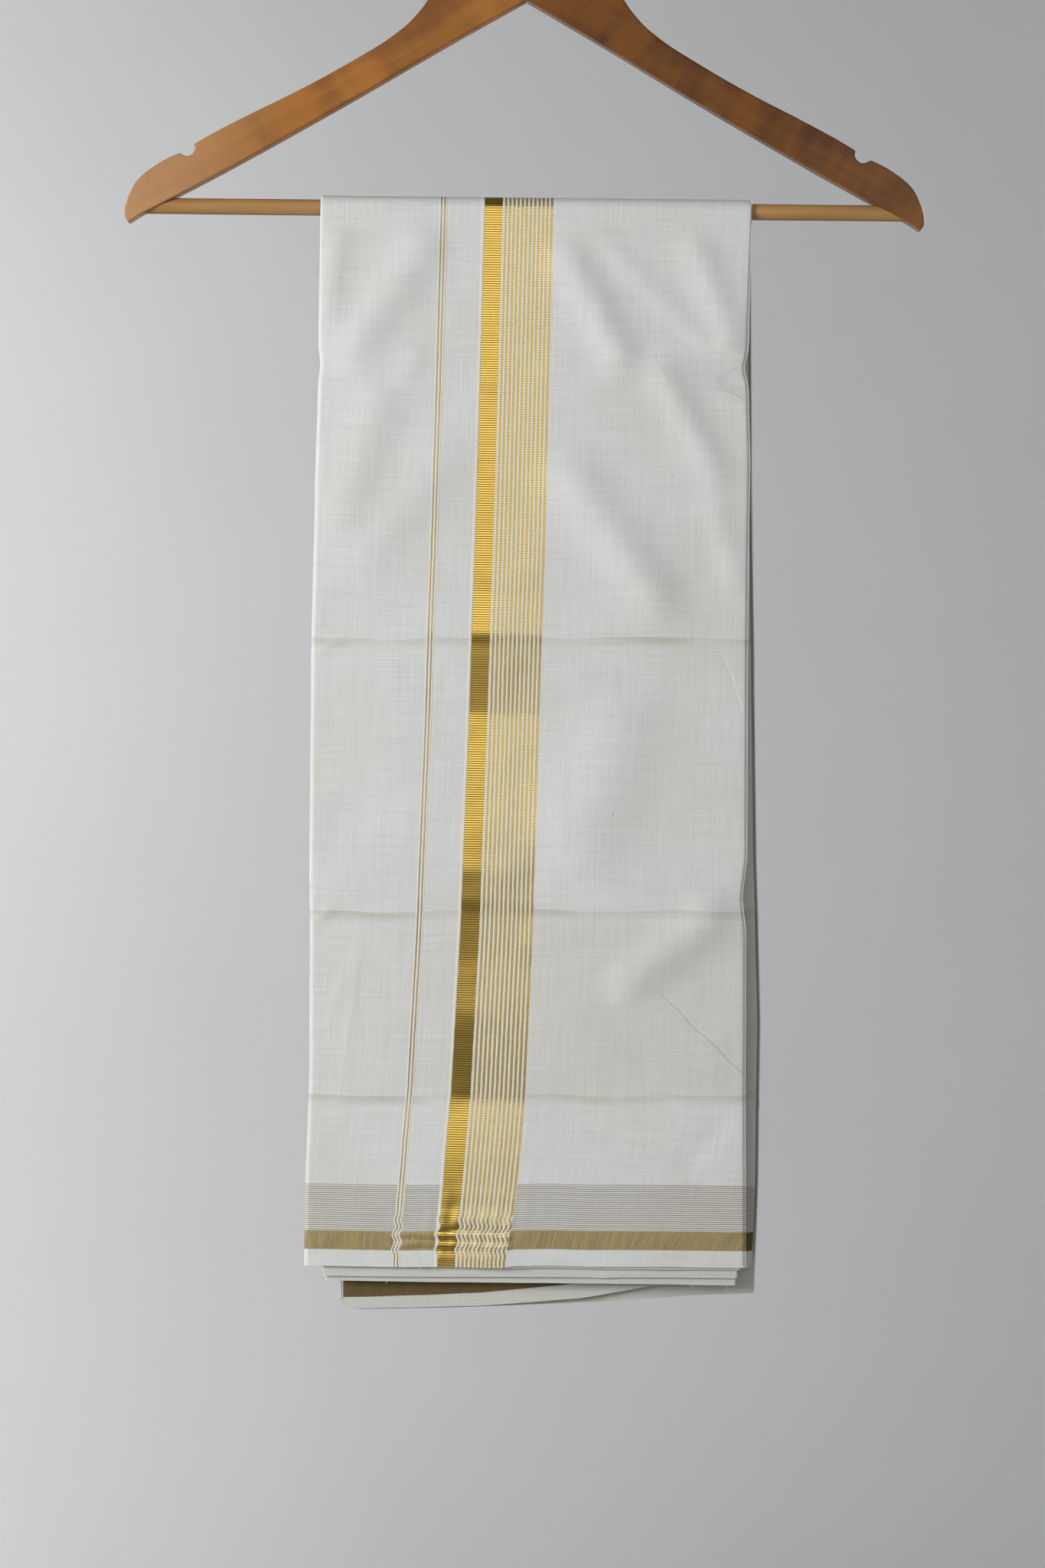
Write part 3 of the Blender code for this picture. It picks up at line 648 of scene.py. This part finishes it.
def woodMaterial(name, light, dark, tilt, gloss, curl, paleEnds):
    # long grain along the piece, with growth bands, pores, curled figure across the grain, satin varnish
    # and a paler tone towards the far end
    material, tree, shader = newMaterial(name)
    spot = objectPlace(tree)
    turn = tree.nodes.new("ShaderNodeMapping")
    turn.inputs["Rotation"].default_value = (0.0, math.radians(tilt), 0.0)
    tree.links.new(spot, turn.inputs["Vector"])
    grain = noise(tree, turn.outputs[0], 26.0, 4.0, (0.32, 3.0, 5.5), 0.55)
    figure = noise(tree, turn.outputs[0], 9.0, 3.0, (0.7, 2.0, 3.4), 0.6)
    pores = noise(tree, turn.outputs[0], 420.0, 2.0, (0.05, 1.0, 1.0), 0.6)
    across = noise(tree, turn.outputs[0], 30.0, 3.0, (1.5, 1.0, 0.5), 0.6)
    mixed = timesPlus(tree, grain, 0.5, times(tree, figure, 0.5))
    mixed = timesPlus(tree, calc(tree, "SUBTRACT", across, 0.5), curl, mixed)
    tone = ramp(tree, mixed, 0.30, 0.72)
    tone = timesPlus(tree, ramp(tree, pores, 0.56, 0.72), 0.16, times(tree, tone, 0.84))
    place = tree.nodes.new("ShaderNodeSeparateXYZ")
    tree.links.new(spot, place.inputs[0])
    reach = calc(tree, "ABSOLUTE", place.outputs[0])
    paleShare = times(tree, ramp(tree, reach, paleFrom, paleTo), paleEnds)
    colour = blend(tree, tone, light, dark)
    setLooks(tree, shader, {
        "Base Color": blend(tree, paleShare, colour, paleEndWood),
        "Roughness": timesPlus(tree, pores, 0.14, gloss),
        "Specular IOR Level": 0.20, "Coat Weight": 0.07, "Coat Roughness": 0.22})
    setRelief(tree, shader, pores, 0.18, 0.3 * mm)
    return material


steel = dict(dull=(0.55, 0.55, 0.56, 1.0), bright=(0.72, 0.72, 0.72, 1.0))


def steelMaterial(name):
    # drawn wire with faint marks along it
    material, tree, shader = newMaterial(name)
    marks = noise(tree, objectPlace(tree), 900.0, 3.0, (1.0, 1.0, 0.2), 0.7)
    setLooks(tree, shader, {
        "Base Color": blend(tree, marks, steel["dull"], steel["bright"]),
        "Roughness": timesPlus(tree, marks, 0.18, 0.16), "Metallic": 1.0})
    return material


plaster = dict(grey=(0.60, 0.61, 0.615, 1.0), pale=(0.64, 0.645, 0.645, 1.0))


def plasterMaterial(name):
    # pale plain floor and backdrop
    material, tree, shader = newMaterial(name)
    mottle = noise(tree, objectPlace(tree), 2.5, 4.0)
    colour = blend(tree, mottle, plaster["grey"], plaster["pale"])
    setLooks(tree, shader, {"Base Color": colour, "Roughness": 0.95})
    return material


def claim(piece, slot, *nodes):
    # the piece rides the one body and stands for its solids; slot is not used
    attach(piece, "root")
    if nodes:
        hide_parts(*nodes)
    return piece


# Camera: level, straight on, rolled as the photograph is
camera = dict(
    distance=2.42, frontFace=8.5, aimX=2.3, aimZ=-528.1, sensor=36.0,
    pixel=0.4253, height=2048, roll=-0.6)      # size of a pixel at the front face, picture height in pixels


def buildCamera():
    # the lens takes in the picture's height at the cloth's front face
    data = bpy.data.cameras.new("camera")
    data.sensor_width = camera["sensor"]
    data.lens = camera["sensor"] * camera["distance"] / (camera["pixel"] * mm * camera["height"])
    data.clip_end = 60.0
    holder = addObject("camera", data)
    back = -camera["distance"] - camera["frontFace"] * mm
    holder.location = (camera["aimX"] * mm, back, camera["aimZ"] * mm)
    holder.rotation_euler = (math.pi / 2, math.radians(camera["roll"]), 0.0)
    bpy.context.scene.camera = holder


studio = dict(
    floorDrop=1.9, bowlRadius=5.2, bend=0.9, wall=4.6, rearSpread=80.0,
    world=0.12, worldColour=(0.93, 0.96, 1.0, 1.0),
    # name, place, what it looks at, width, height, power, colour
    lamps=[
        ("window", (-0.7, -3.7, 0.36), (-0.7, 0.0, 0.36), 3.6, 1.92, 33.0, (1.0, 1.0, 1.0)),
        ("key", (-1.85, -1.3, -0.2), (0.0, 0.0, -0.5), 0.8, 0.8, 48.0, (1.0, 0.995, 0.98)),
        ("wash", (-2.7, 3.1, 0.1), (-2.3, 5.0, -0.4), 1.0, 1.0, 94.0, (1.0, 1.0, 1.0)),
        ("rear", (2.2, 1.6, 0.3), (0.0, 0.0, -0.45), 1.0, 1.0, 17.0, (1.0, 1.0, 1.0))],
)


def buildStudio():
    # floor with a rim that curves up all round, turned about the vertical
    s = studio
    bend = np.linspace(0.0, math.pi / 2, 14)
    reach = np.concatenate([[0.001], np.linspace(0.6, s["bowlRadius"] - s["bend"], 8)[:-1],
                            s["bowlRadius"] - s["bend"] + s["bend"] * np.sin(bend), [s["bowlRadius"]]])
    lift = np.concatenate([np.zeros(8), s["bend"] * (1.0 - np.cos(bend)), [s["wall"]]])
    turn = np.linspace(0.0, 2.0 * math.pi, 97)[:-1]
    x = reach[:, None] * np.cos(turn)[None, :]
    y = reach[:, None] * np.sin(turn)[None, :]
    z = lift[:, None] - s["floorDrop"] + 0.0 * x
    points = np.stack([x, y, z], axis=-1).reshape(-1, 3)
    index = np.arange(len(points)).reshape(len(reach), len(turn))
    after = np.roll(index, -1, axis=1)
    faces = np.stack([index[:-1], index[1:], after[1:], after[:-1]], axis=-1).reshape(-1, 4)
    mesh = bpy.data.meshes.new("floor")
    mesh.from_pydata(points.tolist(), [], faces.tolist())
    mesh.materials.append(plasterMaterial("pale floor"))
    mesh.shade_smooth()
    addObject("floor", mesh)
    world = bpy.data.worlds.new("studio")
    bpy.context.scene.world = world
    world.use_nodes = True
    glow = world.node_tree.nodes["Background"]
    glow.inputs[0].default_value = s["worldColour"]
    glow.inputs[1].default_value = s["world"]
    for name, place, aim, width, height, power, colour in s["lamps"]:
        light = bpy.data.lights.new(name, "AREA")
        light.shape = "RECTANGLE"
        light.size, light.size_y = width, height
        light.energy = power
        light.color = colour
        light.spread = math.radians(s["rearSpread"] if name == "rear" else 180.0)
        lamp = addObject(name, light)
        lamp.location = place
        lamp.visible_camera = False
        away = np.array(place) - np.array(aim)
        lamp.rotation_euler = (math.atan2(math.hypot(away[0], away[1]), away[2]), 0.0,
                               math.atan2(away[0], -away[1]))
    bpy.context.scene.view_settings.view_transform = "Standard"
    bpy.context.scene.view_settings.look = "None"


def spacedRows(last, marks, wide, close, reach):
    # drops from 0 to last, close together near each mark and wide elsewhere
    rows = [0.0]
    while rows[-1] < last:
        near = min(abs(rows[-1] - mark) for mark in marks)
        rows.append(rows[-1] + (close if near < reach else wide))
    rows = np.array(rows)
    return rows * last / rows[-1]


def outerShares():
    # columns lie closer along the gold border
    place = np.linspace(0.0, 1.0, 2001)
    density = 1.0 + 1.5 * np.exp(-((place - 0.40) / 0.12) ** 4)
    total = np.concatenate([[0.0], np.cumsum((density[1:] + density[:-1]) / 2)])
    return np.interp(np.linspace(0.0, total[-1], 110), total, place)


def frontHemDrop(x):
    # the outermost hem lies a little higher right of the middle
    return cloth["frontHem"] - 1.2 * smooth((x + 8.0) / 10.0) + 0.25 * patchNoise(x, 0.0 * x, 21.0, 5)


def lowerEdgeOf(table):
    # a hem line of the back fall with its left corner rounded off on a quarter circle
    start, radius = cloth["corner"]
    return lambda x: (column(cloth[table], 1, x) - radius
                      + radius * np.sqrt(1.0 - (1.0 - np.clip((x - start) / radius, 0.0, 1.0)) ** 2))


def buildOuterCloth(material):
    # up the front, half a turn over the bar, down the back: one grid, thickened along its normals
    shares = outerShares()
    frontRows = spacedRows(cloth["frontHem"], [72, 101, 209, 239, 281, 370, 389, 496, 575], 3.9, 1.6, 9.0)
    backRows = spacedRows(cloth["backLowest"], cloth["backCreases"], 5.2, 2.6, 12.0)
    front, frontMap = fallSurface(frontRows, -1, shares, frontHemDrop)
    back, backMap = fallSurface(backRows, 1, shares, lowerEdgeOf("backFold"))
    back[0] = front[0] * [1, -1, 1]
    over = frontMap[0, :, 1] + math.pi * cloth["overBar"]
    backMap[..., 1] += over[None, :]
    arch, archMap = archSurface(front[0], back[0], frontMap[0], backMap[0], 22)
    middle = np.concatenate([front[::-1], arch, back])
    weave = np.concatenate([frontMap[::-1], archMap, backMap])
    half = normals(middle) * cloth["thickness"] / 2
    piece = shellMesh("outerCloth", middle + half, middle - half, weave, material, weaving["innerShift"])
    claim(piece, "bordered_cotton", "outer_ply")
    return piece


# Folded plies inside: side, depth below the outer ply over the bar and in the fall, thickness there,
# how far it stands back at the hem, insets at the left and right, lower edge
plies = [
    dict(name="secondPly", side=-1, bar=0.12, fall=0.20, thick=(0.12, 0.45), slack=0.7, inset=(1.6, 1.6),
         foot=lambda x: 588.9 + 0.2 * patchNoise(x, 0.0 * x, 17.0, 41)),
    dict(name="middlePly", side=-1, bar=0.28, fall=0.95, thick=(0.14, 0.7), slack=1.8, inset=(3.4, 3.0),
         foot=lambda x: 594.6 - 1.1 * smooth((x + 100.0) / 220.0) + 0.5 * np.exp(-((x - 50.0) / 5.0) ** 2)),
    dict(name="lastPly", side=-1, bar=0.46, fall=1.95, thick=(0.14, 0.8), slack=2.9, inset=(4.6, 3.8),
         foot=lambda x: 597.5 + 0.3 * patchNoise(x, 0.0 * x, 40.0, 43)),
]
# the plies of the back fall end above its bottom fold, by the last number
for name, bar, fall, thick, inset, short in [
        ("rearPlyOne", 0.12, 0.35, 0.7, (2.6, 3.2), 36.0),
        ("rearPlyTwo", 0.30, 1.4, 0.75, (3.8, 2.4), 40.0),
        ("rearPlyThree", 0.48, 2.4, 0.7, (3.0, 4.0), 38.0)]:
    plies.append(dict(name=name, side=1, bar=bar, fall=fall, thick=(0.14, thick), slack=0.0, inset=inset,
                      foot=lambda x, short=short: column(cloth["backFold"], 1, x) - short))


def buildPly(ply, material):
    # a folded ply under the outer one: its points are the outer ply's, moved in, with rounded side edges
    lip = np.array([0.0, 0.0008, 0.0024, 0.005])
    shares = np.concatenate([lip, np.linspace(0.012, 0.988, 46), 1.0 - lip[::-1]])
    marks = [240, 392, 494] if ply["side"] < 0 else cloth["backCreases"]
    last = float(np.max(ply["foot"](np.linspace(-110.0, 130.0, 60))))
    rows = spacedRows(last, marks, 9.0, 3.4, 14.0)
    # front plies stand further in from the side edges towards the hem
    tuck = smooth((rows - 300.0) / 294.0)[:, None]
    grow = np.array([6.8, 1.4]) if ply["side"] < 0 else np.array([0.0, 0.0])
    inset = [ply["inset"][0] + grow[0] * tuck, ply["inset"][1] + grow[1] * tuck]
    fall, weave = fallSurface(rows, ply["side"], shares, ply["foot"], inset, fine=False)
    turn = np.linspace(0.0, math.pi / 2, 8)[1:][:, None]
    top = fall[0]
    over = np.stack([top[None, :, 0] + 0.0 * turn, top[None, :, 1] * np.cos(turn),
                     np.abs(top[None, :, 1]) * np.sin(turn)], axis=-1)
    overMap = np.stack([weave[0][None, :, 0] + 0.0 * turn,
                        weave[0][None, :, 1] + cloth["overBar"] * turn], axis=-1)
    if ply["side"] < 0:
        middle = np.concatenate([fall[::-1], over])
        weave = np.concatenate([weave[::-1], overMap])
    else:
        middle = np.concatenate([over[::-1], fall])
        weave = np.concatenate([overMap[::-1], weave])
    drop = np.maximum(-middle[..., 2], 0.0)
    spread = smooth((drop - 4.0) / cloth["swellDrop"])
    thick = ply["thick"][0] + (ply["thick"][1] - ply["thick"][0]) * spread
    top = cloth["thickness"] / 2 + ply["bar"] + (ply["fall"] - ply["bar"]) * spread
    top = top + ply["slack"] * smooth((drop - 545.0) / 42.0)
    rim = np.minimum(np.arange(len(shares)), np.arange(len(shares))[::-1])
    rounding = np.interp(rim, [0, 1, 2, 3], [0.12, 0.6, 0.9, 1.0])[None, :]
    out = normals(middle)
    outside = middle - out * (top + thick / 2 * (1.0 - rounding))[..., None]
    inside = middle - out * (top + thick / 2 * (1.0 + rounding))[..., None]
    piece = shellMesh(ply["name"], outside, inside, weave, material)
    claim(piece, "plain_cotton", "hidden_plies")
    return piece


def buildInnerEnd(material):
    # the other cut end, on the inner side of the back fall
    shares = np.linspace(0.0, 1.0, 110)
    rows = spacedRows(cloth["backLowest"], cloth["backCreases"] + [600], 9.0, 2.0, 16.0)
    rows = np.concatenate([[9.0], rows[2:]])
    inset = [cloth["innerInset"], cloth["innerInset"]]
    middle, weave = fallSurface(rows, 1, shares, lowerEdgeOf("innerHem"), inset, fine=False)
    drop = -middle[..., 2]
    hem = column(cloth["innerHem"], 1, middle[..., 0]) - 3.0 * smooth((middle[..., 0] + 98.0) / 233.0)
    weave = np.stack([weave[..., 0] + weaving["innerShift"], hem - drop], axis=-1)
    hidden = 0.8 + 2.1 * smooth((drop - 4.0) / cloth["swellDrop"])
    out = normals(middle)
    top = cloth["innerDepth"] + hidden + cloth["innerGap"]
    outside = middle - out * top[..., None]
    inside = middle - out * (top + cloth["innerThickness"])[..., None]
    piece = shellMesh("innerEnd", outside, inside, weave, material)
    claim(piece, "gold_banded_end", "inner_end")
    return piece


# Yarn ends at the hems: x, drop, length, lean from straight down in degrees, bow, which ply they leave
yarns = dict(
    radius=0.13,
    stations=9,
    sides=5,
    plyDepth=[0.0, 3.4, 5.5],
    weave=[300.0, 300.0],  # woven place past the border, so that the yarn is plain
    loose=[
        (-54.3, 588.9, 5.6, 74, 0.8, 0), (-51.5, 588.9, 2.2, -20, 0.2, 0), (-47.0, 588.9, 1.6, 30, 0.2, 0),
        (-44.0, 588.6, 2.0, -35, 0.3, 0), (9.4, 587.6, 2.6, 60, 0.4, 0), (47.0, 588.0, 1.4, -10, 0.2, 0),
        (82.0, 588.0, 1.7, 25, 0.3, 0), (99.8, 597.4, 4.6, -38, 1.3, 2), (119.0, 597.3, 6.2, -16, 0.8, 2),
        (-97.0, 594.2, 2.2, -40, 0.4, 1), (-71.0, 597.3, 2.4, 18, 0.3, 2), (22.0, 594.0, 1.8, 35, 0.2, 1),
        (58.0, 597.2, 2.0, -22, 0.3, 2)],
)


def buildYarns(material):
    # each end is a sine bow along a leaning line, a thin tube round it that narrows to its tip
    y = yarns
    steps = np.arange(2 * weaving["stripes"]) / 2.0 - 0.2
    lanes = weaving["firstStripe"] + weaving["stripePitch"] * steps
    cut = np.array([(lane - 33.0, 588.3, 1.5 + 0.3 * (index % 3), 16 - 15 * (index % 3), 0.15, 0)
                    for index, lane in enumerate(lanes)])
    ends = np.vstack([np.array(y["loose"], dtype=float), cut])
    x, drop, length, lean, bow, ply = ends.T[:, :, None]
    t = np.linspace(0.0, 1.0, y["stations"])[None, :]
    lean = np.radians(lean)
    routeX = x + length * np.sin(lean) * t + bow * np.cos(lean) * np.sin(math.pi * t)
    routeDrop = drop - 0.4 + length * np.cos(lean) * t
    inward = np.array(y["plyDepth"])[ply.astype(int)]
    front = cloth["overBar"] + cloth["swell"] + standOut(x, drop, -1) - inward
    depth = -front - 0.4 * np.sin(math.pi * t)
    route = np.stack([routeX, depth, -routeDrop], axis=-1)
    turn = np.linspace(0.0, 2.0 * math.pi, y["sides"], endpoint=False)
    ring = np.stack([np.cos(turn), np.sin(turn), 0.5 * np.sin(turn)], axis=-1)
    taper = y["radius"] * np.interp(t, [0.0, 0.8, 1.0], [1.0, 0.9, 0.35])[..., None, None]
    points = route[:, :, None, :] + taper * ring[None, None]
    points[..., 2] += barHeight
    index = np.arange(points[..., 0].size).reshape(points.shape[:3])
    faces = ringFaces(index) + index[:, 0, ::-1].tolist() + index[:, -1].tolist()
    piece = closedPiece("yarnEnds", points, faces, material)
    layer = piece.data.uv_layers.new(name="weave")
    layer.data.foreach_set("uv", np.tile(y["weave"], len(piece.data.loops)).astype(np.float32))
    return claim(piece, "plain_cotton")


arms = dict(thickness=12.0, rounding=3.6, notchRadius=4.4, notchCentre=(188.2, 31.6))
# outline of an arm: reach along X, height above the bar
tipEdge = [
    (220.4, -9.8), (222.3, -7.0), (222.4, -2.5), (220.6, 4.2), (216.6, 12.2),
    (211.4, 17.6), (204.5, 22.6), (198.6, 26.0), (192.9, 28.6)]
shoulderEdge = [
    (183.8, 34.2), (170.0, 42.1), (150.0, 52.5), (130.0, 62.5), (110.0, 73.3),
    (90.0, 85.0), (80.0, 91.2), (72.0, 97.0), (66.0, 102.0), (62.0, 106.2), (58.0, 111.0),
    (53.8, 117.2), (49.0, 125.0), (43.5, 134.0), (35.0, 142.4), (22.0, 148.2), (8.0, 150.0), (0.1, 150.0)]
lowerEdge = [
    (0.1, 116.0), (40.0, 93.1), (100.0, 57.6), (160.0, 23.3), (199.0, 2.3), (211.5, -4.2), (220.4, -9.8)]


def throughPoints(points, steps):
    # smooth curve through the points: each stretch is a cubic whose ends lean along its neighbours
    p = np.array(points, dtype=float)
    before = np.vstack([2 * p[0] - p[1], p[:-2]])
    after = np.vstack([p[2:], 2 * p[-1] - p[-2]])
    t = np.linspace(0.0, 1.0, steps, endpoint=False)[None, :, None]
    a, b, c, d = before[:, None], p[:-1, None], p[1:, None], after[:, None]
    square, cube = 2 * a - 5 * b + 4 * c - d, 3 * b - a - 3 * c + d
    curve = 0.5 * (2 * b + (c - a) * t + square * t ** 2 + cube * t ** 3)
    return np.vstack([curve.reshape(-1, 2), p[-1:]])


def armOutline():
    # tip curve, notch as an arc about its centre, shoulder curve and lower curve, one after another
    cx, cz = arms["notchCentre"]
    radius = arms["notchRadius"]
    start = math.atan2(tipEdge[-1][1] - cz, tipEdge[-1][0] - cx)
    end = math.atan2(shoulderEdge[0][1] - cz, shoulderEdge[0][0] - cx) - 2 * math.pi
    turn = np.linspace(start, end if end < start else end - 2 * math.pi, 15)[1:-1]
    notch = np.stack([cx + radius * np.cos(turn), cz + radius * np.sin(turn)], axis=-1)
    return np.vstack([throughPoints(tipEdge, 4), notch, throughPoints(shoulderEdge, 4),
                      throughPoints(lowerEdge, 5)[:-1]])


def buildArm(name, hand, material, slot, node):
    # flat outline, carried through the thickness, with rounded rims
    outline = armOutline() * [hand, 1.0]
    if hand > 0:
        outline = outline[::-1]
    half = arms["thickness"] / 2
    count = len(outline)
    ring = np.stack([outline[:, 0], np.full(count, -half), outline[:, 1] + barHeight], axis=-1)
    points = np.concatenate([ring, ring + [0.0, 2 * half, 0.0]])
    near = np.arange(count)
    after = np.roll(near, -1)
    sides = np.stack([near, near + count, after + count, after], axis=-1)
    faces = [near.tolist()] + [(near[::-1] + count).tolist()] + sides.tolist()
    arm = closedPiece(name, points, faces, material)
    rims = arm.modifiers.new("rounded rims", "BEVEL")
    rims.width = arms["rounding"] * mm
    rims.segments = 5
    rims.limit_method = "ANGLE"
    rims.angle_limit = math.radians(50)
    arm.data.set_sharp_from_angle(angle=math.radians(50))
    return claim(arm, slot, node)


def tube(name, route, radii, sides, material):
    # circles carried along a route in the XZ plane, with their own radius at each station
    along = np.gradient(route, axis=0)
    along /= np.linalg.norm(along, axis=1, keepdims=True)
    across = np.stack([-along[:, 2], 0.0 * along[:, 0], along[:, 0]], axis=-1)
    depth = np.array([0.0, 1.0, 0.0])
    turn = np.linspace(0.0, 2.0 * math.pi, sides, endpoint=False)
    rings = (route[:, None] + radii[:, None, None]
             * (across[:, None] * np.cos(turn)[None, :, None] + depth * np.sin(turn)[None, :, None]))
    index = np.arange(len(rings) * sides).reshape(-1, sides)
    faces = ringFaces(index) + [index[0][::-1].tolist(), index[-1].tolist()]
    piece = closedPiece(name, rings + [0.0, 0.0, barHeight], faces, material)
    piece.data.set_sharp_from_angle(angle=math.radians(40))
    return piece


trouserBar = dict(radius=4.5, half=212.0)


def buildBar(material):
    # round bar, a little uneven along its length, with eased ends
    half = trouserBar["half"]
    x = np.concatenate([[-half, -half + 0.3, -half + 0.8], np.linspace(-half + 3.0, half - 3.0, 120),
                        [half - 0.8, half - 0.3, half]])
    ease = np.interp(np.abs(x), [half - 0.8, half - 0.3, half], [1.0, 0.95, 0.86])
    radii = (trouserBar["radius"] + 0.05 * patchNoise(x, 0.0 * x, 60.0, 51) - 0.05) * ease
    route = np.stack([x, 0.0 * x, 0.0 * x], axis=-1)
    return claim(tube("trouserBar", route, radii, 48, material), "pale_bar", "trouser_bar")


hook = dict(
    wire=1.9,
    loop=18.5,
    loopStart=-42.0,       # degrees round the loop's centre, from straight right
    loopEnd=200.0,
    neckBelow=31.0,        # where the wire starts to swing out, below the loop's centre
    headTop=150.0,         # top of the arms' head above the bar
    sink=20.0,             # how deep the wire sits in the head
)


def buildHook(material):
    # up from the head, out to the right and round over the seat, with a domed end
    wire, loop = hook["wire"], hook["loop"]
    centre = -barHeight + wire - loop
    foot = hook["headTop"] - hook["sink"] + 1.0
    neck = centre - hook["neckBelow"]
    stem = np.stack([np.zeros(12), np.linspace(foot, neck, 12)], axis=-1)
    start = math.radians(hook["loopStart"])
    leave = np.array([loop * math.cos(start), centre + loop * math.sin(start)])
    share = np.linspace(0.0, 1.0, 26)[1:-1]
    swing = np.stack([leave[0] * smooth(share), neck + (leave[1] - neck) * share], axis=-1)
    turn = np.radians(np.linspace(hook["loopStart"], hook["loopEnd"], 110))
    crown = np.stack([loop * np.cos(turn), centre + loop * np.sin(turn)], axis=-1)
    flat = np.vstack([stem, swing, crown])
    lead = flat[-1] - flat[-2]
    lead /= np.linalg.norm(lead)
    dome = np.radians([30.0, 50.0, 68.0, 82.0])
    flat = np.vstack([flat, flat[-1] + lead * (wire * np.sin(dome))[:, None]])
    radii = np.concatenate([np.full(len(flat) - 4, wire), wire * np.cos(dome)])
    route = np.stack([flat[:, 0], 0.0 * flat[:, 0], flat[:, 1]], axis=-1)
    return claim(tube("hookWire", route, radii, 24, material), "hook_steel", "hook")


print("studio and camera")
buildCamera()
buildStudio()
print("cloth")
buildOuterCloth(clothMaterial("bordered cotton", **endBands["outer"]))
plainCotton = clothMaterial("plain cotton", **endBands["plain"])
for ply in plies:
    buildPly(ply, plainCotton)
buildYarns(plainCotton)
buildInnerEnd(clothMaterial("banded end", **endBands["inner"]))
print("hanger")
buildArm("armLeft", -1, woodMaterial("honey wood", **woods["honey"]), "varnished_arm_left", "arm_left")
buildArm("armRight", 1, woodMaterial("brown wood", **woods["brown"]), "varnished_arm_right", "arm_right")
buildBar(woodMaterial("pale wood", **woods["pale"]))
buildHook(steelMaterial("drawn steel"))
